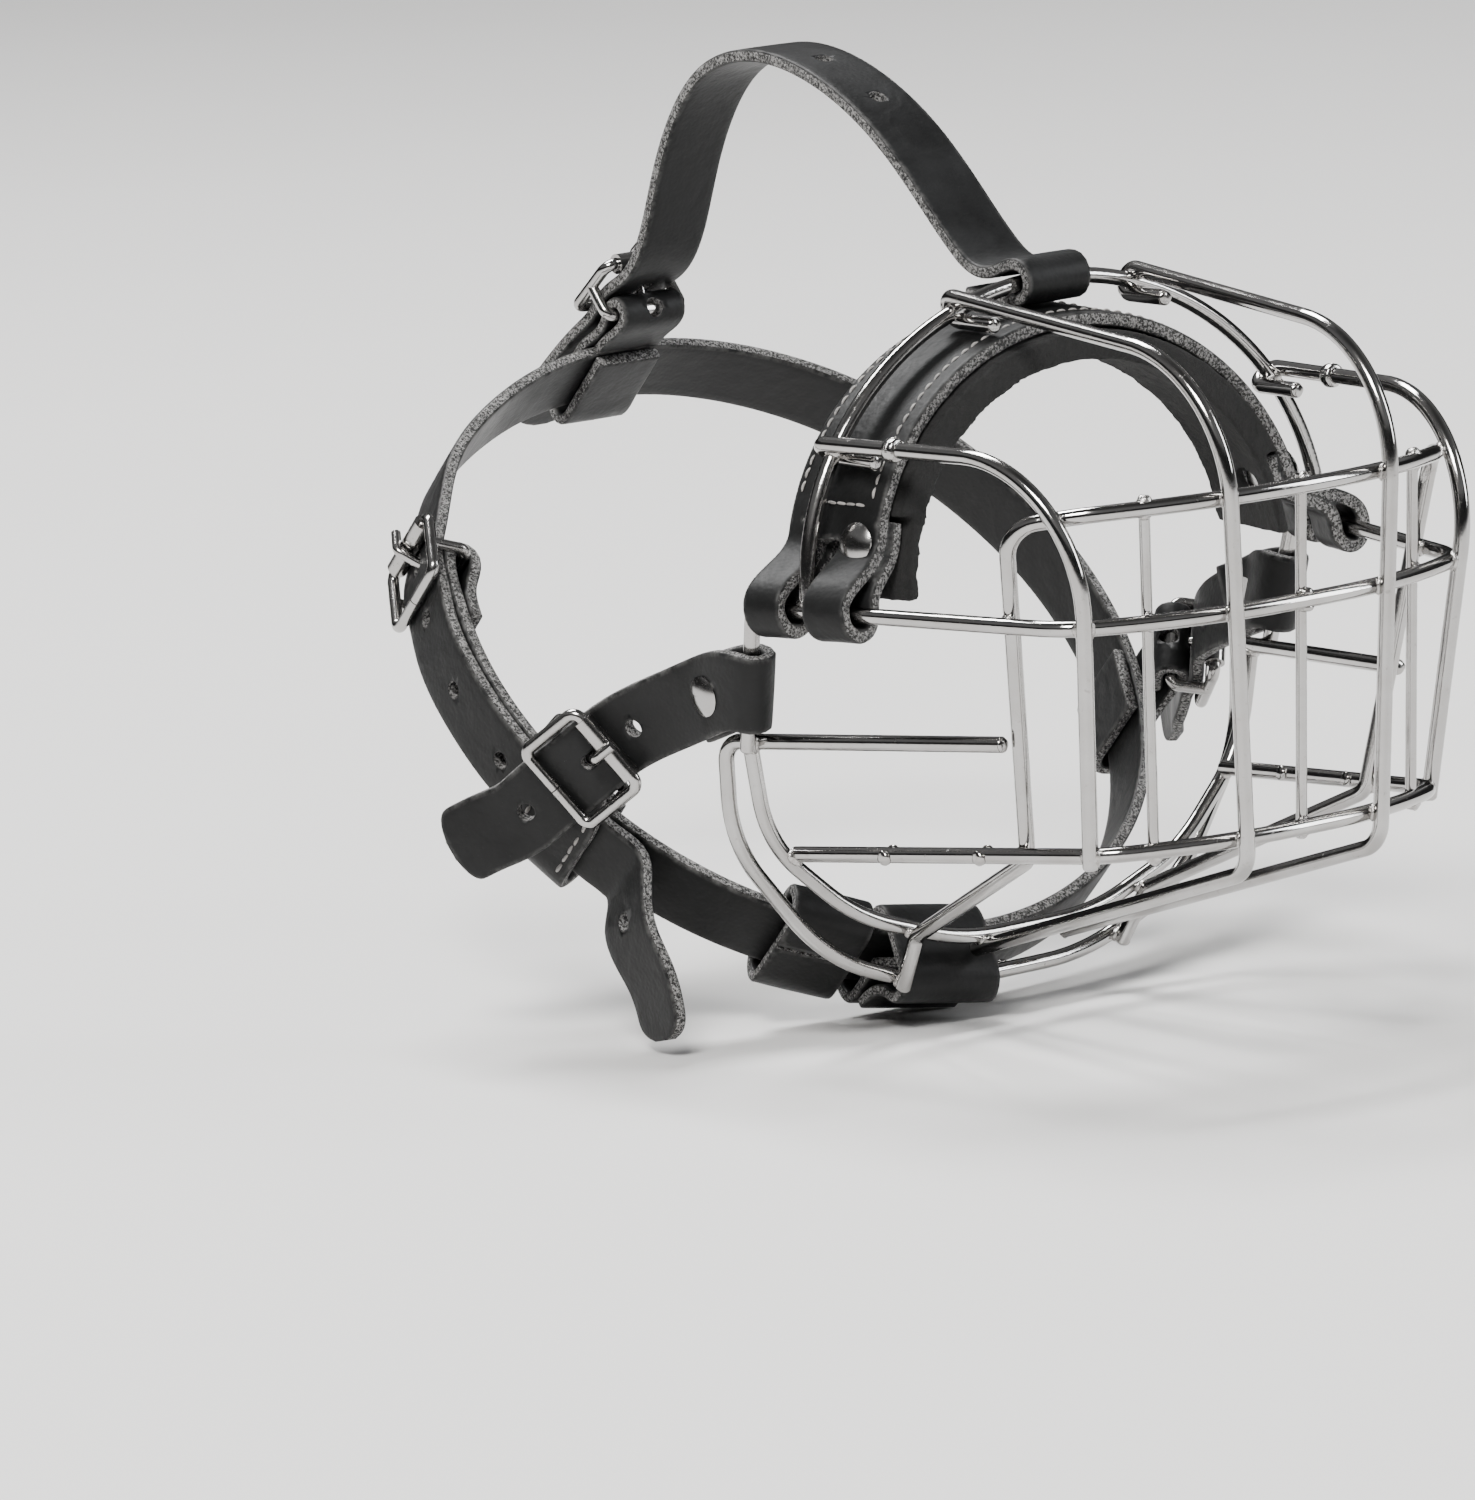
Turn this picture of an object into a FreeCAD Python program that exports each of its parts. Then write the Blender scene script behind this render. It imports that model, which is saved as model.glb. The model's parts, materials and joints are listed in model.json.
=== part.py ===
"""Wire basket muzzle for a dog: chromed wire basket, padded nose band and leather harness.

Axes: +Z up, the muzzle points along -Y, X = 0 is the mirror plane, and the wearer's right is -X.
The origin is the middle of the opening that the snout enters, level with the middle ring.
"""
import FreeCAD, Part
import Sketcher
import math
import os

from FreeCAD import Vector

doc = FreeCAD.newDocument("basket_muzzle")

# ---------------------------------------------------------------- driving dimensions, in mm and degrees
DIMENSIONS = {
    "wire_diameter": 2.6,
    "bar_diameter": 1.8,
    "weld_bite": 0.4,
    "arch_half_width": 54.0,
    "arch_height": 46.2,
    "band_thickness": 2.5,
    "band_front_half_width": 45.6,
    "band_front_height": 41.4,
    "band_rear_half_width": 48.9,
    "band_rear_height": 41.8,
    "band_shift": 3.0,
    "band_lean": 6.8,
    "front_tab_width": 8.0,
    "rear_tab_width": 7.0,
    "lining_thickness": 5.0,
    "strap_width": 13.0,
    "strap_thickness": 2.2,
    "tab_thickness": 2.0,
    "leather_gap": 0.15,
    "strap_hole_diameter": 3.0,
    "neck_radius": 63.4,
    "neck_tilt": 44.0,
    "neck_centre_back": 71.0,
    "neck_centre_drop": 22.6,
    "buckle_wire": 2.0,
    "buckle_half_length": 6.0,
    "buckle_half_width": 7.9,
    "rail_height": 2.3,
    "roller_outer": 3.4,
    "roller_bore": 2.2,
    "roller_length": 12.0,
    "tongue_diameter": 1.6,
    "tongue_eye_outer": 4.0,
    "tongue_eye_bore": 2.2,
    "rivet_head": 6.6,
    "rivet_dome": 1.1,
    "rivet_shank": 2.6,
    "rivet_washer": 0.6,
}

sheet = doc.addObject("Spreadsheet::Sheet", "dims")
for row, (alias, number) in enumerate(DIMENSIONS.items(), start=1):
    sheet.set(f"A{row}", alias)
    sheet.set(f"B{row}", str(number))
    sheet.setAlias(f"B{row}", alias)
doc.recompute()


def dim(alias):
    """The value of one sheet cell."""
    return float(sheet.get(alias))


PIECES = {}


def keep(label, piece):
    """Names a finished piece, whose shape becomes one file."""
    piece.Label = label
    PIECES[label] = piece
    return piece


def feature(name, shape):
    """A document object that holds a shape made with Part's own functions."""
    piece = doc.addObject("Part::Feature", name)
    piece.Shape = shape
    return piece


# ---------------------------------------------------------------- paths and sections
WIRE = dim("wire_diameter")
BAR = dim("bar_diameter")
TOUCH = WIRE - dim("weld_bite")
BAR_TOUCH = (WIRE + BAR) / 2 - dim("weld_bite")
GAP = dim("leather_gap")
STRAP = dim("strap_thickness")
TAB = dim("tab_thickness")
WIDE = dim("strap_width")


def mirrored(point):
    return Vector(-point.x, point.y, point.z)


def unit(vector):
    copy = Vector(vector)
    copy.normalize()
    return copy


def rounded_path(corners):
    """Edges of straight runs joined by tangent arcs; corners is a list of (point, radius)."""
    edges = []
    start = corners[0][0]
    for (before, _), (corner, radius), (after, _) in zip(corners, corners[1:], corners[2:]):
        arriving, leaving = unit(corner - before), unit(after - corner)
        half_turn = arriving.getAngle(leaving) / 2
        setback = radius * math.tan(half_turn)
        first, last = corner - arriving * setback, corner + leaving * setback
        middle = corner + unit(leaving - arriving) * (radius / math.cos(half_turn) - radius)
        if (first - start).Length > 1e-3:
            edges.append(Part.LineSegment(start, first).toShape())
        edges.append(Part.Arc(first, middle, last).toShape())
        start = last
    edges.append(Part.LineSegment(start, corners[-1][0]).toShape())
    return edges


def swept(name, edges, diameter_alias):
    """A round wire swept along the edges, its radius bound to the sheet."""
    spine = feature(name + "_spine", Part.Wire(edges))
    first = edges[0]
    section = doc.addObject("Part::Circle", name + "_section")
    section.setExpression("Radius", f"dims.{diameter_alias} / 2")
    along = first.tangentAt(first.FirstParameter)
    section.Placement = FreeCAD.Placement(first.valueAt(first.FirstParameter),
                                          FreeCAD.Rotation(Vector(0, 0, 1), along))
    sweep = doc.addObject("Part::Sweep", name + "_sweep")
    sweep.Sections = [section]
    sweep.Spine = (spine, [f"Edge{i + 1}" for i in range(len(edges))])
    sweep.Solid = True
    sweep.Frenet = True
    doc.recompute()
    return sweep


def wire_piece(label, edges, diameter_alias):
    return keep(label, swept(label, edges, diameter_alias))


def symmetric(half):
    """A path whose second half mirrors the first; half runs from one end to the mirror plane."""
    return half + [(mirrored(point), radius) for point, radius in reversed(half)]


def band_solid(stations, width, thickness, step=3.5):
    """A flat strap whose middle line runs through the stations, each (point, width direction)."""
    curve = Part.BSplineCurve()
    curve.interpolate([point for point, _ in stations])
    knots = curve.getKnots()
    sections = []
    for i in range(len(stations) - 1):
        count = max(1, round(curve.length(knots[i], knots[i + 1]) / step))
        last = i == len(stations) - 2
        for j in range(count + last):
            share = j / count
            here = knots[i] + (knots[i + 1] - knots[i]) * share
            across = stations[i][1] * (1 - share) + stations[i + 1][1] * share
            along = curve.tangent(here)[0]
            sections.append(rectangle(curve.value(here), along, across, width, thickness))
    return faceted_solid(sections)


def facets(corners):
    """One flat face through four corners, or two triangles where they don't lie in a plane."""
    a, b, c, d = corners
    normal = unit((b - a).cross(c - a))
    if abs((d - a).dot(normal)) < 5e-8:
        return [Part.Face(Part.makePolygon([a, b, c, d, a]))]
    return [Part.Face(Part.makePolygon([a, b, c, a])), Part.Face(Part.makePolygon([a, c, d, a]))]


def faceted_solid(sections):
    """A solid with flat faces through a row of four-cornered sections."""
    faces = facets(sections[0]) + facets(sections[-1])
    for one, other in zip(sections, sections[1:]):
        for i in range(4):
            k = (i + 1) % 4
            faces += facets((one[i], one[k], other[k], other[i]))
    shell = Part.makeShell(faces)
    shell.sewShape()
    solid = Part.makeSolid(shell)
    if solid.Volume < 0:
        solid.reverse()
    return solid


def rectangle(middle, along, across, width, thickness):
    """Corners of a rectangle square to the direction along, its width laid as near across as it can be."""
    normal = unit(along.cross(across))
    side = unit(normal.cross(along)) * (width / 2)
    rise = normal * (thickness / 2)
    return [middle - side - rise, middle + side - rise, middle + side + rise, middle - side + rise]


def fold_round(centre, axis, radius, start, turn, steps=6):
    """Points on an arc about an axis, from the start direction through turn degrees."""
    points = []
    for i in range(steps + 1):
        spin = FreeCAD.Rotation(axis, turn * i / steps)
        points.append(centre + spin.multVec(unit(start)) * radius)
    return points


def punch(solid, middle, normal, long_way=None, stretch=0.0, diameter=None):
    """Cuts a round hole, or a slot stretched along long_way, through a strap."""
    radius = (diameter or dim("strap_hole_diameter")) / 2
    depth = 2.4 * STRAP
    normal = unit(normal)
    tool = Part.makeCylinder(radius, 2 * depth, middle - normal * depth, normal)
    if stretch:
        way = unit(long_way)
        far = Part.makeCylinder(radius, 2 * depth, middle + way * stretch - normal * depth, normal)
        side = unit(normal.cross(way)) * radius
        base = [middle + side, middle + side + way * stretch, middle - side + way * stretch, middle - side]
        face = Part.Face(Part.makePolygon([point - normal * depth for point in base + base[:1]]))
        tool = tool.fuse([far, face.extrude(normal * 2 * depth)])
    return solid.cut(tool)


# ---------------------------------------------------------------- the wire basket
MIDDLE_RING_CORNER = Vector(40.8, -51.0, 0)
MIDDLE_RING_REAR = Vector(57.2, 6.6, 0)
ARCH_FOOT_BACK = -3.4
ARCH_LEAN = 3.8


def arch_point(height):
    """Centre of the nose arch wire at a height, on the wearer's left."""
    share = height / dim("arch_height")
    return Vector(dim("arch_half_width") * math.sqrt(1 - share * share), 0, height)


def build_nose_arch():
    """Half an ellipse that stands on the middle ring, just ahead of the eyes."""
    half_width, height = dim("arch_half_width"), dim("arch_height")
    ellipse = Part.Ellipse(Vector(half_width, 0, 0), Vector(0, 0, height), Vector(0, 0, 0))
    foot = math.radians(1.6)
    curve = Part.ArcOfEllipse(ellipse, foot, math.pi - foot).toShape()
    curve.Placement = FreeCAD.Placement(Vector(0, ARCH_FOOT_BACK, 0), FreeCAD.Rotation(Vector(1, 0, 0), -ARCH_LEAN))
    wire_piece("nose_arch_wire", [curve], "wire_diameter")


def build_middle_ring():
    """Level ring round the snout; its ends turn down as the posts that hold the cheek straps."""
    half = [
        (Vector(55.2, 12.2, -23.6), 0),
        (MIDDLE_RING_REAR, 3.0),
        (MIDDLE_RING_CORNER, 13.0),
        (Vector(19.1, -60.3, 0), 72.0),
    ]
    wire_piece("middle_ring_wire", rounded_path(symmetric(half)), "wire_diameter")


def build_lower_ring():
    """Level ring below the lip, whose ends reach back to the front chin wire."""
    half = [
        (Vector(45.6, 13.4, -42.3), 0),
        (Vector(34.9, -49.6, -36.6), 9.0),
        (Vector(17.5, -58.6, -36.2), 60.0),
    ]
    wire_piece("lower_ring_wire", rounded_path(symmetric(half)), "wire_diameter")


def build_portal():
    """The bar above the mouth, its two legs and the struts under the jaw, bent from one wire."""
    half = [
        (Vector(23.3, 15.2, -68.0), 0),
        (Vector(24.6, 9.6, -58.6), 3.0),
        (Vector(35.6, -32.4, -39.3), 3.0),
        (Vector(44.6, -41.4, 15.8), 6.0),
        (Vector(36.6, -51.0, 17.4), 14.0),
        (Vector(17.0, -61.6, 18.3), 60.0),
    ]
    wire_piece("front_portal_wire", rounded_path(symmetric(half)), "wire_diameter")


def build_chin_wires():
    """Two hoops under the jaw: the rear one carries the chin tab and reaches forward to the portal legs."""
    rear = [
        (Vector(41.6, -34.6, -19.6), 0),
        (Vector(54.4, 19.0, -23.2), 3.5),
        (Vector(53.8, 19.4, -40.0), 24.0),
        (Vector(37.5, 17.2, -61.4), 34.0),
        (Vector(16.0, 17.0, -69.2), 44.0),
    ]
    wire_piece("rear_chin_wire", rounded_path(symmetric(rear)), "wire_diameter")
    front = [
        (Vector(53.0, 14.2, -24.0), 0),
        (Vector(50.2, 14.8, -40.0), 22.0),
        (Vector(34.5, 12.8, -54.2), 34.0),
        (Vector(14.0, 11.2, -61.2), 44.0),
    ]
    wire_piece("front_chin_wire", rounded_path(symmetric(front)), "wire_diameter")


def hook_round_arch(outer):
    """Corners of the hook that grips the arch wire at a height, and the point on its outer side."""
    centre = arch_point(outer)
    centre.y = ARCH_FOOT_BACK + outer * math.tan(math.radians(ARCH_LEAN))
    out = unit(Vector(centre.x / dim("arch_half_width") ** 2, 0, centre.z / dim("arch_height") ** 2))
    top, under = centre + out * TOUCH, centre - out * TOUCH
    back = Vector(0, TOUCH, 0)
    return [(under + Vector(0, -8.0, 0), 0), (under + back, TOUCH * 0.9), (top + back, TOUCH * 0.9)], top


def build_long_bars():
    """Two bars a side, which run forward from the arch, turn down the face and end under the jaw."""
    side_hook, side_top = hook_round_arch(24.3)
    side = side_hook + [
        (side_top + Vector(-6.0, -54.5, 0.6), 22.0),
        (Vector(35.6, -47.6, -38.4), 0),
    ]
    crown_hook, crown_top = hook_round_arch(43.4)
    crown = crown_hook + [
        (Vector(17.6, -63.2, 38.6), 23.0),
        (Vector(13.9, -59.8, -41.2), 5.0),
        (Vector(9.34, 13.2, -63.7), 0),
    ]
    for name, corners in (("side_bar", side), ("crown_bar", crown)):
        wire_piece(name + "_left", rounded_path(corners), "wire_diameter")
        right = [(mirrored(point), radius) for point, radius in corners]
        wire_piece(name + "_right", rounded_path(right), "wire_diameter")


def build_front_bars():
    """Three thin upright bars welded inside the portal, the middle ring and the lower ring."""
    tops_and_feet = {
        "front_bar_right": (Vector(-28.0, -55.0, 19.2), Vector(-27.0, -52.7, -38.0)),
        "front_bar_middle": (Vector(0, -60.0, 19.8), Vector(0, -56.9, -38.0)),
        "front_bar_left": (Vector(28.0, -55.0, 19.2), Vector(27.0, -52.7, -38.0)),
    }
    for label, (top, foot) in tops_and_feet.items():
        wire_piece(label, [Part.LineSegment(top, foot).toShape()], "bar_diameter")


# ---------------------------------------------------------------- nose band
def leaning_ellipse(half_width, height, back):
    """A whole ellipse round the nose at a distance back, its upper part leaning to the rear."""
    centre = Vector(BAND_SHIFT, back, 0)
    top = centre + Vector(0, height * BAND_LEAN, height)
    return Part.Wire([Part.Ellipse(centre + Vector(half_width, 0, 0), top, centre).toShape()])


def tapered_shell(front, rear, thickness, floor):
    """A bent sheet over the nose between two ellipses, each (half_width, height, back)."""
    outer = Part.makeLoft([leaning_ellipse(*front), leaning_ellipse(*rear)], True, True)
    hollows = [leaning_ellipse(wide - thickness, high - thickness, back)
               for wide, high, back in stretched(front, rear)]
    shell = outer.cut(Part.makeLoft(hollows, True, True))
    reach = 4 * front[0]
    room = Part.makeBox(reach, reach, reach, Vector(-reach / 2, -reach / 2, floor))
    return shell.common(room)


def stretched(front, rear, share=0.1):
    """The same taper, drawn out a little past both ends."""
    longer = []
    for one, other in ((front, rear), (rear, front)):
        longer.append(tuple(a + (a - b) * share for a, b in zip(one, other)))
    return longer


def ring_side_x(back):
    """X of the middle ring's left side at a distance back."""
    corner, rear = MIDDLE_RING_CORNER, MIDDLE_RING_REAR
    return corner.x + (rear.x - corner.x) * (back - corner.y) / (rear.y - corner.y)


def band_middle(height, inset, back):
    """X of the band's middle layer at a height and distance back, moved in by inset."""
    share = (back - BAND_FRONT) / (BAND_REAR - BAND_FRONT)
    inset += dim("band_thickness") / 2
    half_width = dim("band_front_half_width") * (1 - share) + dim("band_rear_half_width") * share - inset
    full_height = dim("band_front_height") * (1 - share) + dim("band_rear_height") * share - inset
    return half_width * math.sqrt(1 - (height / full_height) ** 2)


def band_tab(back, width, side):
    """One lower end of the band, folded outside, under and back up inside the middle ring."""
    leather = dim("band_thickness")
    loop = WIRE / 2 + 2 * GAP + leather / 2
    ring_x = ring_side_x(back)
    shift = side * BAND_SHIFT
    along = Vector(0.284, 0.959, 0)
    straight = Vector(0.18, 1, 0)
    outline = [
        (band_middle(13, 0, back) + shift, 13.0, straight),
        (band_middle(10, 0, back) + shift, 10.0, straight),
        ((band_middle(7, 0, back) + shift + ring_x + loop) / 2 - 0.3, 5.8, along),
        (ring_x + loop + 0.2, 1.0, along),
        (ring_x + loop * 0.72, -loop * 0.78, along),
        (ring_x - loop * 0.1, -loop * 1.1, along),
        (ring_x - loop * 0.85, -loop * 0.62, along),
        (ring_x - loop - 0.3, 1.6, along),
        (band_middle(8, leather + 0.1, back) + shift, 8.0, straight),
        (band_middle(13, leather + 0.1, back) + shift, 13.0, straight),
    ]
    stations = [(Vector(side * x, back + z * BAND_LEAN, z), Vector(side * across.x, across.y, 0))
                for x, z, across in outline]
    return band_solid(stations, width, leather, step=2.0)


FRONT_TAB, FRONT_WIDTH = -9.8, dim("front_tab_width")
REAR_TAB, REAR_WIDTH = 1.6, dim("rear_tab_width")
BAND_SHIFT = -dim("band_shift")
BAND_LEAN = math.tan(math.radians(dim("band_lean")))
BAND_FRONT = FRONT_TAB - FRONT_WIDTH / 2
BAND_REAR = REAR_TAB + REAR_WIDTH / 2


def band_end(which, inset=0.0, back=0.0):
    """Half width, height and distance back of the band's front or rear edge."""
    place = BAND_FRONT if which == "front" else BAND_REAR
    sizes = []
    for size in ("half_width", "height"):
        front, rear = dim(f"band_front_{size}"), dim(f"band_rear_{size}")
        taper = (rear - front) / (BAND_REAR - BAND_FRONT)
        sizes.append((front if which == "front" else rear) + back * taper - inset)
    return sizes[0], sizes[1], place + back


def build_nose_band():
    """Leather strap over the nose inside the arch; each end splits into two tabs round the ring."""
    shell = tapered_shell(band_end("front"), band_end("rear"), dim("band_thickness"), 11.5)
    tabs = [band_tab(back, width, side) for side in (1, -1)
            for back, width in ((FRONT_TAB, FRONT_WIDTH), (REAR_TAB, REAR_WIDTH))]
    keep("nose_band", feature("nose_band", shell.fuse(tabs).removeSplitter()))


def build_nose_lining():
    """Felt lining inside the band, whose front edge shows past the leather."""
    leather, play = dim("band_thickness"), 0.15
    inset = leather + play
    lining = tapered_shell(band_end("front", inset, -1.6), band_end("rear", inset, -0.8),
                           dim("lining_thickness"), 1.0)
    fold = tapered_shell(band_end("front", -play, -4.0), band_end("rear", -play, 4.0), 2 * leather + 4 * play, -5.0)
    below = Part.makeBox(200, 200, 20, Vector(-100, -100, 14.2 - 20))
    keep("nose_band_lining", feature("nose_band_lining", lining.cut(fold.common(below))))


# ---------------------------------------------------------------- rivets
def rivet_body(name, grip):
    """A domed rivet, its head's underside at Z = 0, that grips leather of the given thickness below."""
    body = doc.addObject("PartDesign::Body", name)
    sketch = body.newObject("Sketcher::SketchObject", name + "_profile")
    plane = next(f for f in body.Origin.OriginFeatures if f.Role == "XZ_Plane")
    sketch.AttachmentSupport = [(plane, "")]
    sketch.MapMode = "FlatFace"
    head, dome = dim("rivet_head") / 2, dim("rivet_dome")
    shank, washer = dim("rivet_shank") / 2, dim("rivet_washer")
    rim, foot = 0.25, head * 0.8
    top, edge = Vector(0, dome, 0), Vector(head, rim, 0)
    bulge = Vector(head * 0.6, rim + (dome - rim) * 0.72, 0)
    sketch.addGeometry(Part.Arc(top, bulge, edge), False)
    outline = [(head, rim), (head, 0), (shank, 0), (shank, -grip), (foot, -grip),
               (foot, -grip - washer), (0, -grip - washer)]
    corners = [Vector(x, z, 0) for x, z in outline] + [top]
    for start, end in zip(corners, corners[1:]):
        sketch.addGeometry(Part.LineSegment(start, end), False)
    turn = body.newObject("PartDesign::Revolution", name + "_turn")
    turn.Profile = sketch
    turn.ReferenceAxis = (sketch, ["V_Axis"])
    turn.Angle = 360
    doc.recompute()
    return body


def place(piece, origin, axis):
    """Moves a piece so that its own Z runs along axis at origin."""
    piece.Placement = FreeCAD.Placement(origin, FreeCAD.Rotation(Vector(0, 0, 1), axis))
    return piece


def mirror_of(name, piece):
    """The wearer's left copy of a right-hand piece."""
    copy = doc.addObject("Part::Mirroring", name)
    copy.Source = piece
    copy.Base = Vector(0, 0, 0)
    copy.Normal = Vector(1, 0, 0)
    doc.recompute()
    return copy


# ---------------------------------------------------------------- the neck strap's circle
def neck_point(turn, radius, along=0.0):
    """A point of the neck circle, turn degrees from the throat towards the wearer's right."""
    tilt, angle = math.radians(dim("neck_tilt")), math.radians(turn)
    centre = Vector(0, dim("neck_centre_back"), -dim("neck_centre_drop"))
    up = Vector(0, math.cos(tilt), math.sin(tilt))
    return centre + Vector(-radius * math.sin(angle), 0, 0) + up * (-radius * math.cos(angle)) + NECK_AXIS * along


def neck_tangent(turn):
    """The direction of the neck circle towards the throat on the wearer's right."""
    return unit(neck_point(turn - 0.5, 100.0) - neck_point(turn + 0.5, 100.0))


NECK_TILT = math.radians(dim("neck_tilt"))
NECK_AXIS = Vector(0, math.sin(NECK_TILT), -math.cos(NECK_TILT))
NECK_INNER = dim("neck_radius")
NECK_OUTER = NECK_INNER + STRAP + GAP


# ---------------------------------------------------------------- buckles
BAR_DROP = 4.0
HALF_LENGTH = dim("buckle_half_length")
RAIL = dim("rail_height")
ROLLER_TOP = RAIL + dim("roller_outer") / 2
OVER_BAR, UNDER_ROLLER, UNDER_REAR = 0.55, -0.58, 0.08


def seat(origin, towards_roller, outward):
    """A buckle's own frame: X towards its roller, Y across the strap, Z outward."""
    forward = unit(towards_roller)
    across = unit(outward.cross(forward))
    return FreeCAD.Placement(origin, FreeCAD.Rotation(forward, across, forward.cross(across), "ZXY"))


def buckle_frame(name):
    """A bent wire rectangle, with the middle bar set below it on two short legs."""
    half_width = dim("buckle_half_width")
    joint = 0.1
    corner_radius, leg_radius = 1.7, 1.4
    loop = [
        (Vector(-HALF_LENGTH, joint, RAIL), 0),
        (Vector(-HALF_LENGTH, half_width, RAIL), corner_radius),
        (Vector(HALF_LENGTH, half_width, RAIL), corner_radius),
        (Vector(HALF_LENGTH, -half_width, RAIL), corner_radius),
        (Vector(-HALF_LENGTH, -half_width, RAIL), corner_radius),
        (Vector(-HALF_LENGTH, -joint, RAIL), 0),
    ]
    staple = [
        (Vector(0, half_width, RAIL), 0),
        (Vector(0, half_width, -BAR_DROP), leg_radius),
        (Vector(0, -half_width, -BAR_DROP), leg_radius),
        (Vector(0, -half_width, RAIL), 0),
    ]
    fuse = doc.addObject("Part::MultiFuse", name)
    fuse.Shapes = [swept(name + "_loop", rounded_path(loop), "buckle_wire"),
                   swept(name + "_staple", rounded_path(staple), "buckle_wire")]
    doc.recompute()
    return fuse


def tube(name, outer_alias, bore_alias, length):
    """A short tube along Y, padded both ways from a sketch of two circles."""
    body = doc.addObject("PartDesign::Body", name)
    sketch = body.newObject("Sketcher::SketchObject", name + "_rings")
    plane = next(f for f in body.Origin.OriginFeatures if f.Role == "XZ_Plane")
    sketch.AttachmentSupport = [(plane, "")]
    sketch.MapMode = "FlatFace"
    for i, alias in enumerate((outer_alias, bore_alias)):
        sketch.addGeometry(Part.Circle(Vector(0, 0, 0), Vector(0, 0, 1), dim(alias) / 2), False)
        sketch.addConstraint(Sketcher.Constraint("Coincident", i, 3, -1, 1))
        number = sketch.addConstraint(Sketcher.Constraint("Diameter", i, dim(alias)))
        sketch.setExpression(f"Constraints[{number}]", f"dims.{alias}")
    pad = body.newObject("PartDesign::Pad", name + "_pad")
    pad.Profile = sketch
    pad.Length = length
    pad.SideType = "Symmetric"
    doc.recompute()
    return body


def buckle_tongue(name):
    """An eye round the middle bar and a pin that rises through the strap and rests on the roller."""
    eye = tube(name + "_eye", "tongue_eye_outer", "tongue_eye_bore", 2.0)
    eye.Placement = FreeCAD.Placement(Vector(0, 0, -BAR_DROP), FreeCAD.Rotation())
    height = ROLLER_TOP + dim("tongue_diameter") / 2 + 0.05
    knee = Vector(HALF_LENGTH - 1.8, 0, height)
    rise = unit(knee - Vector(0, 0, -BAR_DROP))
    pin = [
        (Vector(0, 0, -BAR_DROP) + rise * 1.3, 0),
        (knee, 1.5),
        (Vector(HALF_LENGTH + 2.3, 0, height - 0.1), 0),
    ]
    fuse = doc.addObject("Part::MultiFuse", name)
    fuse.Shapes = [eye, swept(name + "_pin", rounded_path(pin), "tongue_diameter")]
    doc.recompute()
    return fuse


def buckle(prefix, place_frame):
    """Frame, roller and tongue at a seat."""
    frame = buckle_frame(prefix + "_frame")
    roller = tube(prefix + "_roller", "roller_outer", "roller_bore", dim("roller_length"))
    tongue = buckle_tongue(prefix + "_tongue")
    frame.Placement = place_frame
    tongue.Placement = place_frame
    roller.Placement = place_frame.multiply(FreeCAD.Placement(Vector(HALF_LENGTH, 0, RAIL), FreeCAD.Rotation()))
    doc.recompute()
    for part_name, piece in (("frame", frame), ("roller", roller), ("tongue", tongue)):
        keep(prefix + "_" + part_name, piece)


def threaded(place_frame):
    """Points of a strap's middle line through a buckle, from its roller side to its free end."""
    heights = ((HALF_LENGTH, UNDER_ROLLER), (0, OVER_BAR), (-HALF_LENGTH, UNDER_REAR))
    return [place_frame.multVec(Vector(x, 0, z)) for x, z in heights]


def tongue_slot(solid, place_frame):
    """The hole that the tongue stands in, long enough for the tongue to lift a little."""
    turn = place_frame.Rotation
    middle = place_frame.multVec(Vector(1.25, 0, OVER_BAR))
    return punch(solid, middle, turn.multVec(Vector(0, 0, 1)), turn.multVec(Vector(1, 0, 0)), 1.9, 2.4)


def tongue_notch(solid, place_frame):
    """The notch in a fold round the middle bar that leaves room for the tongue's eye."""
    box = Part.makeBox(7.0, 3.0, 8.0, Vector(-2.8, -1.5, -BAR_DROP - 4.9))
    box.Placement = place_frame.multiply(box.Placement)
    return solid.cut(box)


def strap_tab(label, place_frame, turn, strap_radius):
    """Leather tab folded round a buckle's middle bar and looped round the neck strap."""
    across = place_frame.Rotation.multVec(Vector(0, 1, 0))
    band = neck_tangent(turn)
    if band.dot(across) < 0:
        band = band * -1
    loop = dim("buckle_wire") / 2 + 0.1 + TAB / 2
    top = strap_radius + STRAP / 2 + GAP + TAB / 2
    under = NECK_INNER - STRAP / 2 - 0.5 - TAB / 2
    edge, half_height = WIDE / 2 + 0.9, (top - under) / 2
    middle = (top + under) / 2
    stations = [(place_frame.multVec(Vector(x, 0, z)), across) for x, z in (
        (-2.6, -BAR_DROP - loop), (0, -BAR_DROP - loop),
        (loop * 0.72, -BAR_DROP - loop * 0.72), (loop, -BAR_DROP), (loop * 0.72, -BAR_DROP + loop * 0.72),
        (0, -BAR_DROP + loop), (-4.0, -BAR_DROP + loop * 0.45))]
    for along in (-5.0, 0.0, 5.0, edge):
        stations.append((neck_point(turn, top, along), band))
    for reach, height in ((0.7, 0.72), (1.0, 0.0), (0.7, -0.72)):
        stations.append((neck_point(turn, middle + half_height * height, edge + 2.8 * reach), band))
    for along in (edge, 5.0, 0.0, -6.4):
        stations.append((neck_point(turn, under, along), band))
    solid = band_solid(stations, WIDE, TAB, step=2.5)
    return keep(label, feature(label, tongue_notch(solid, place_frame)))


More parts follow.
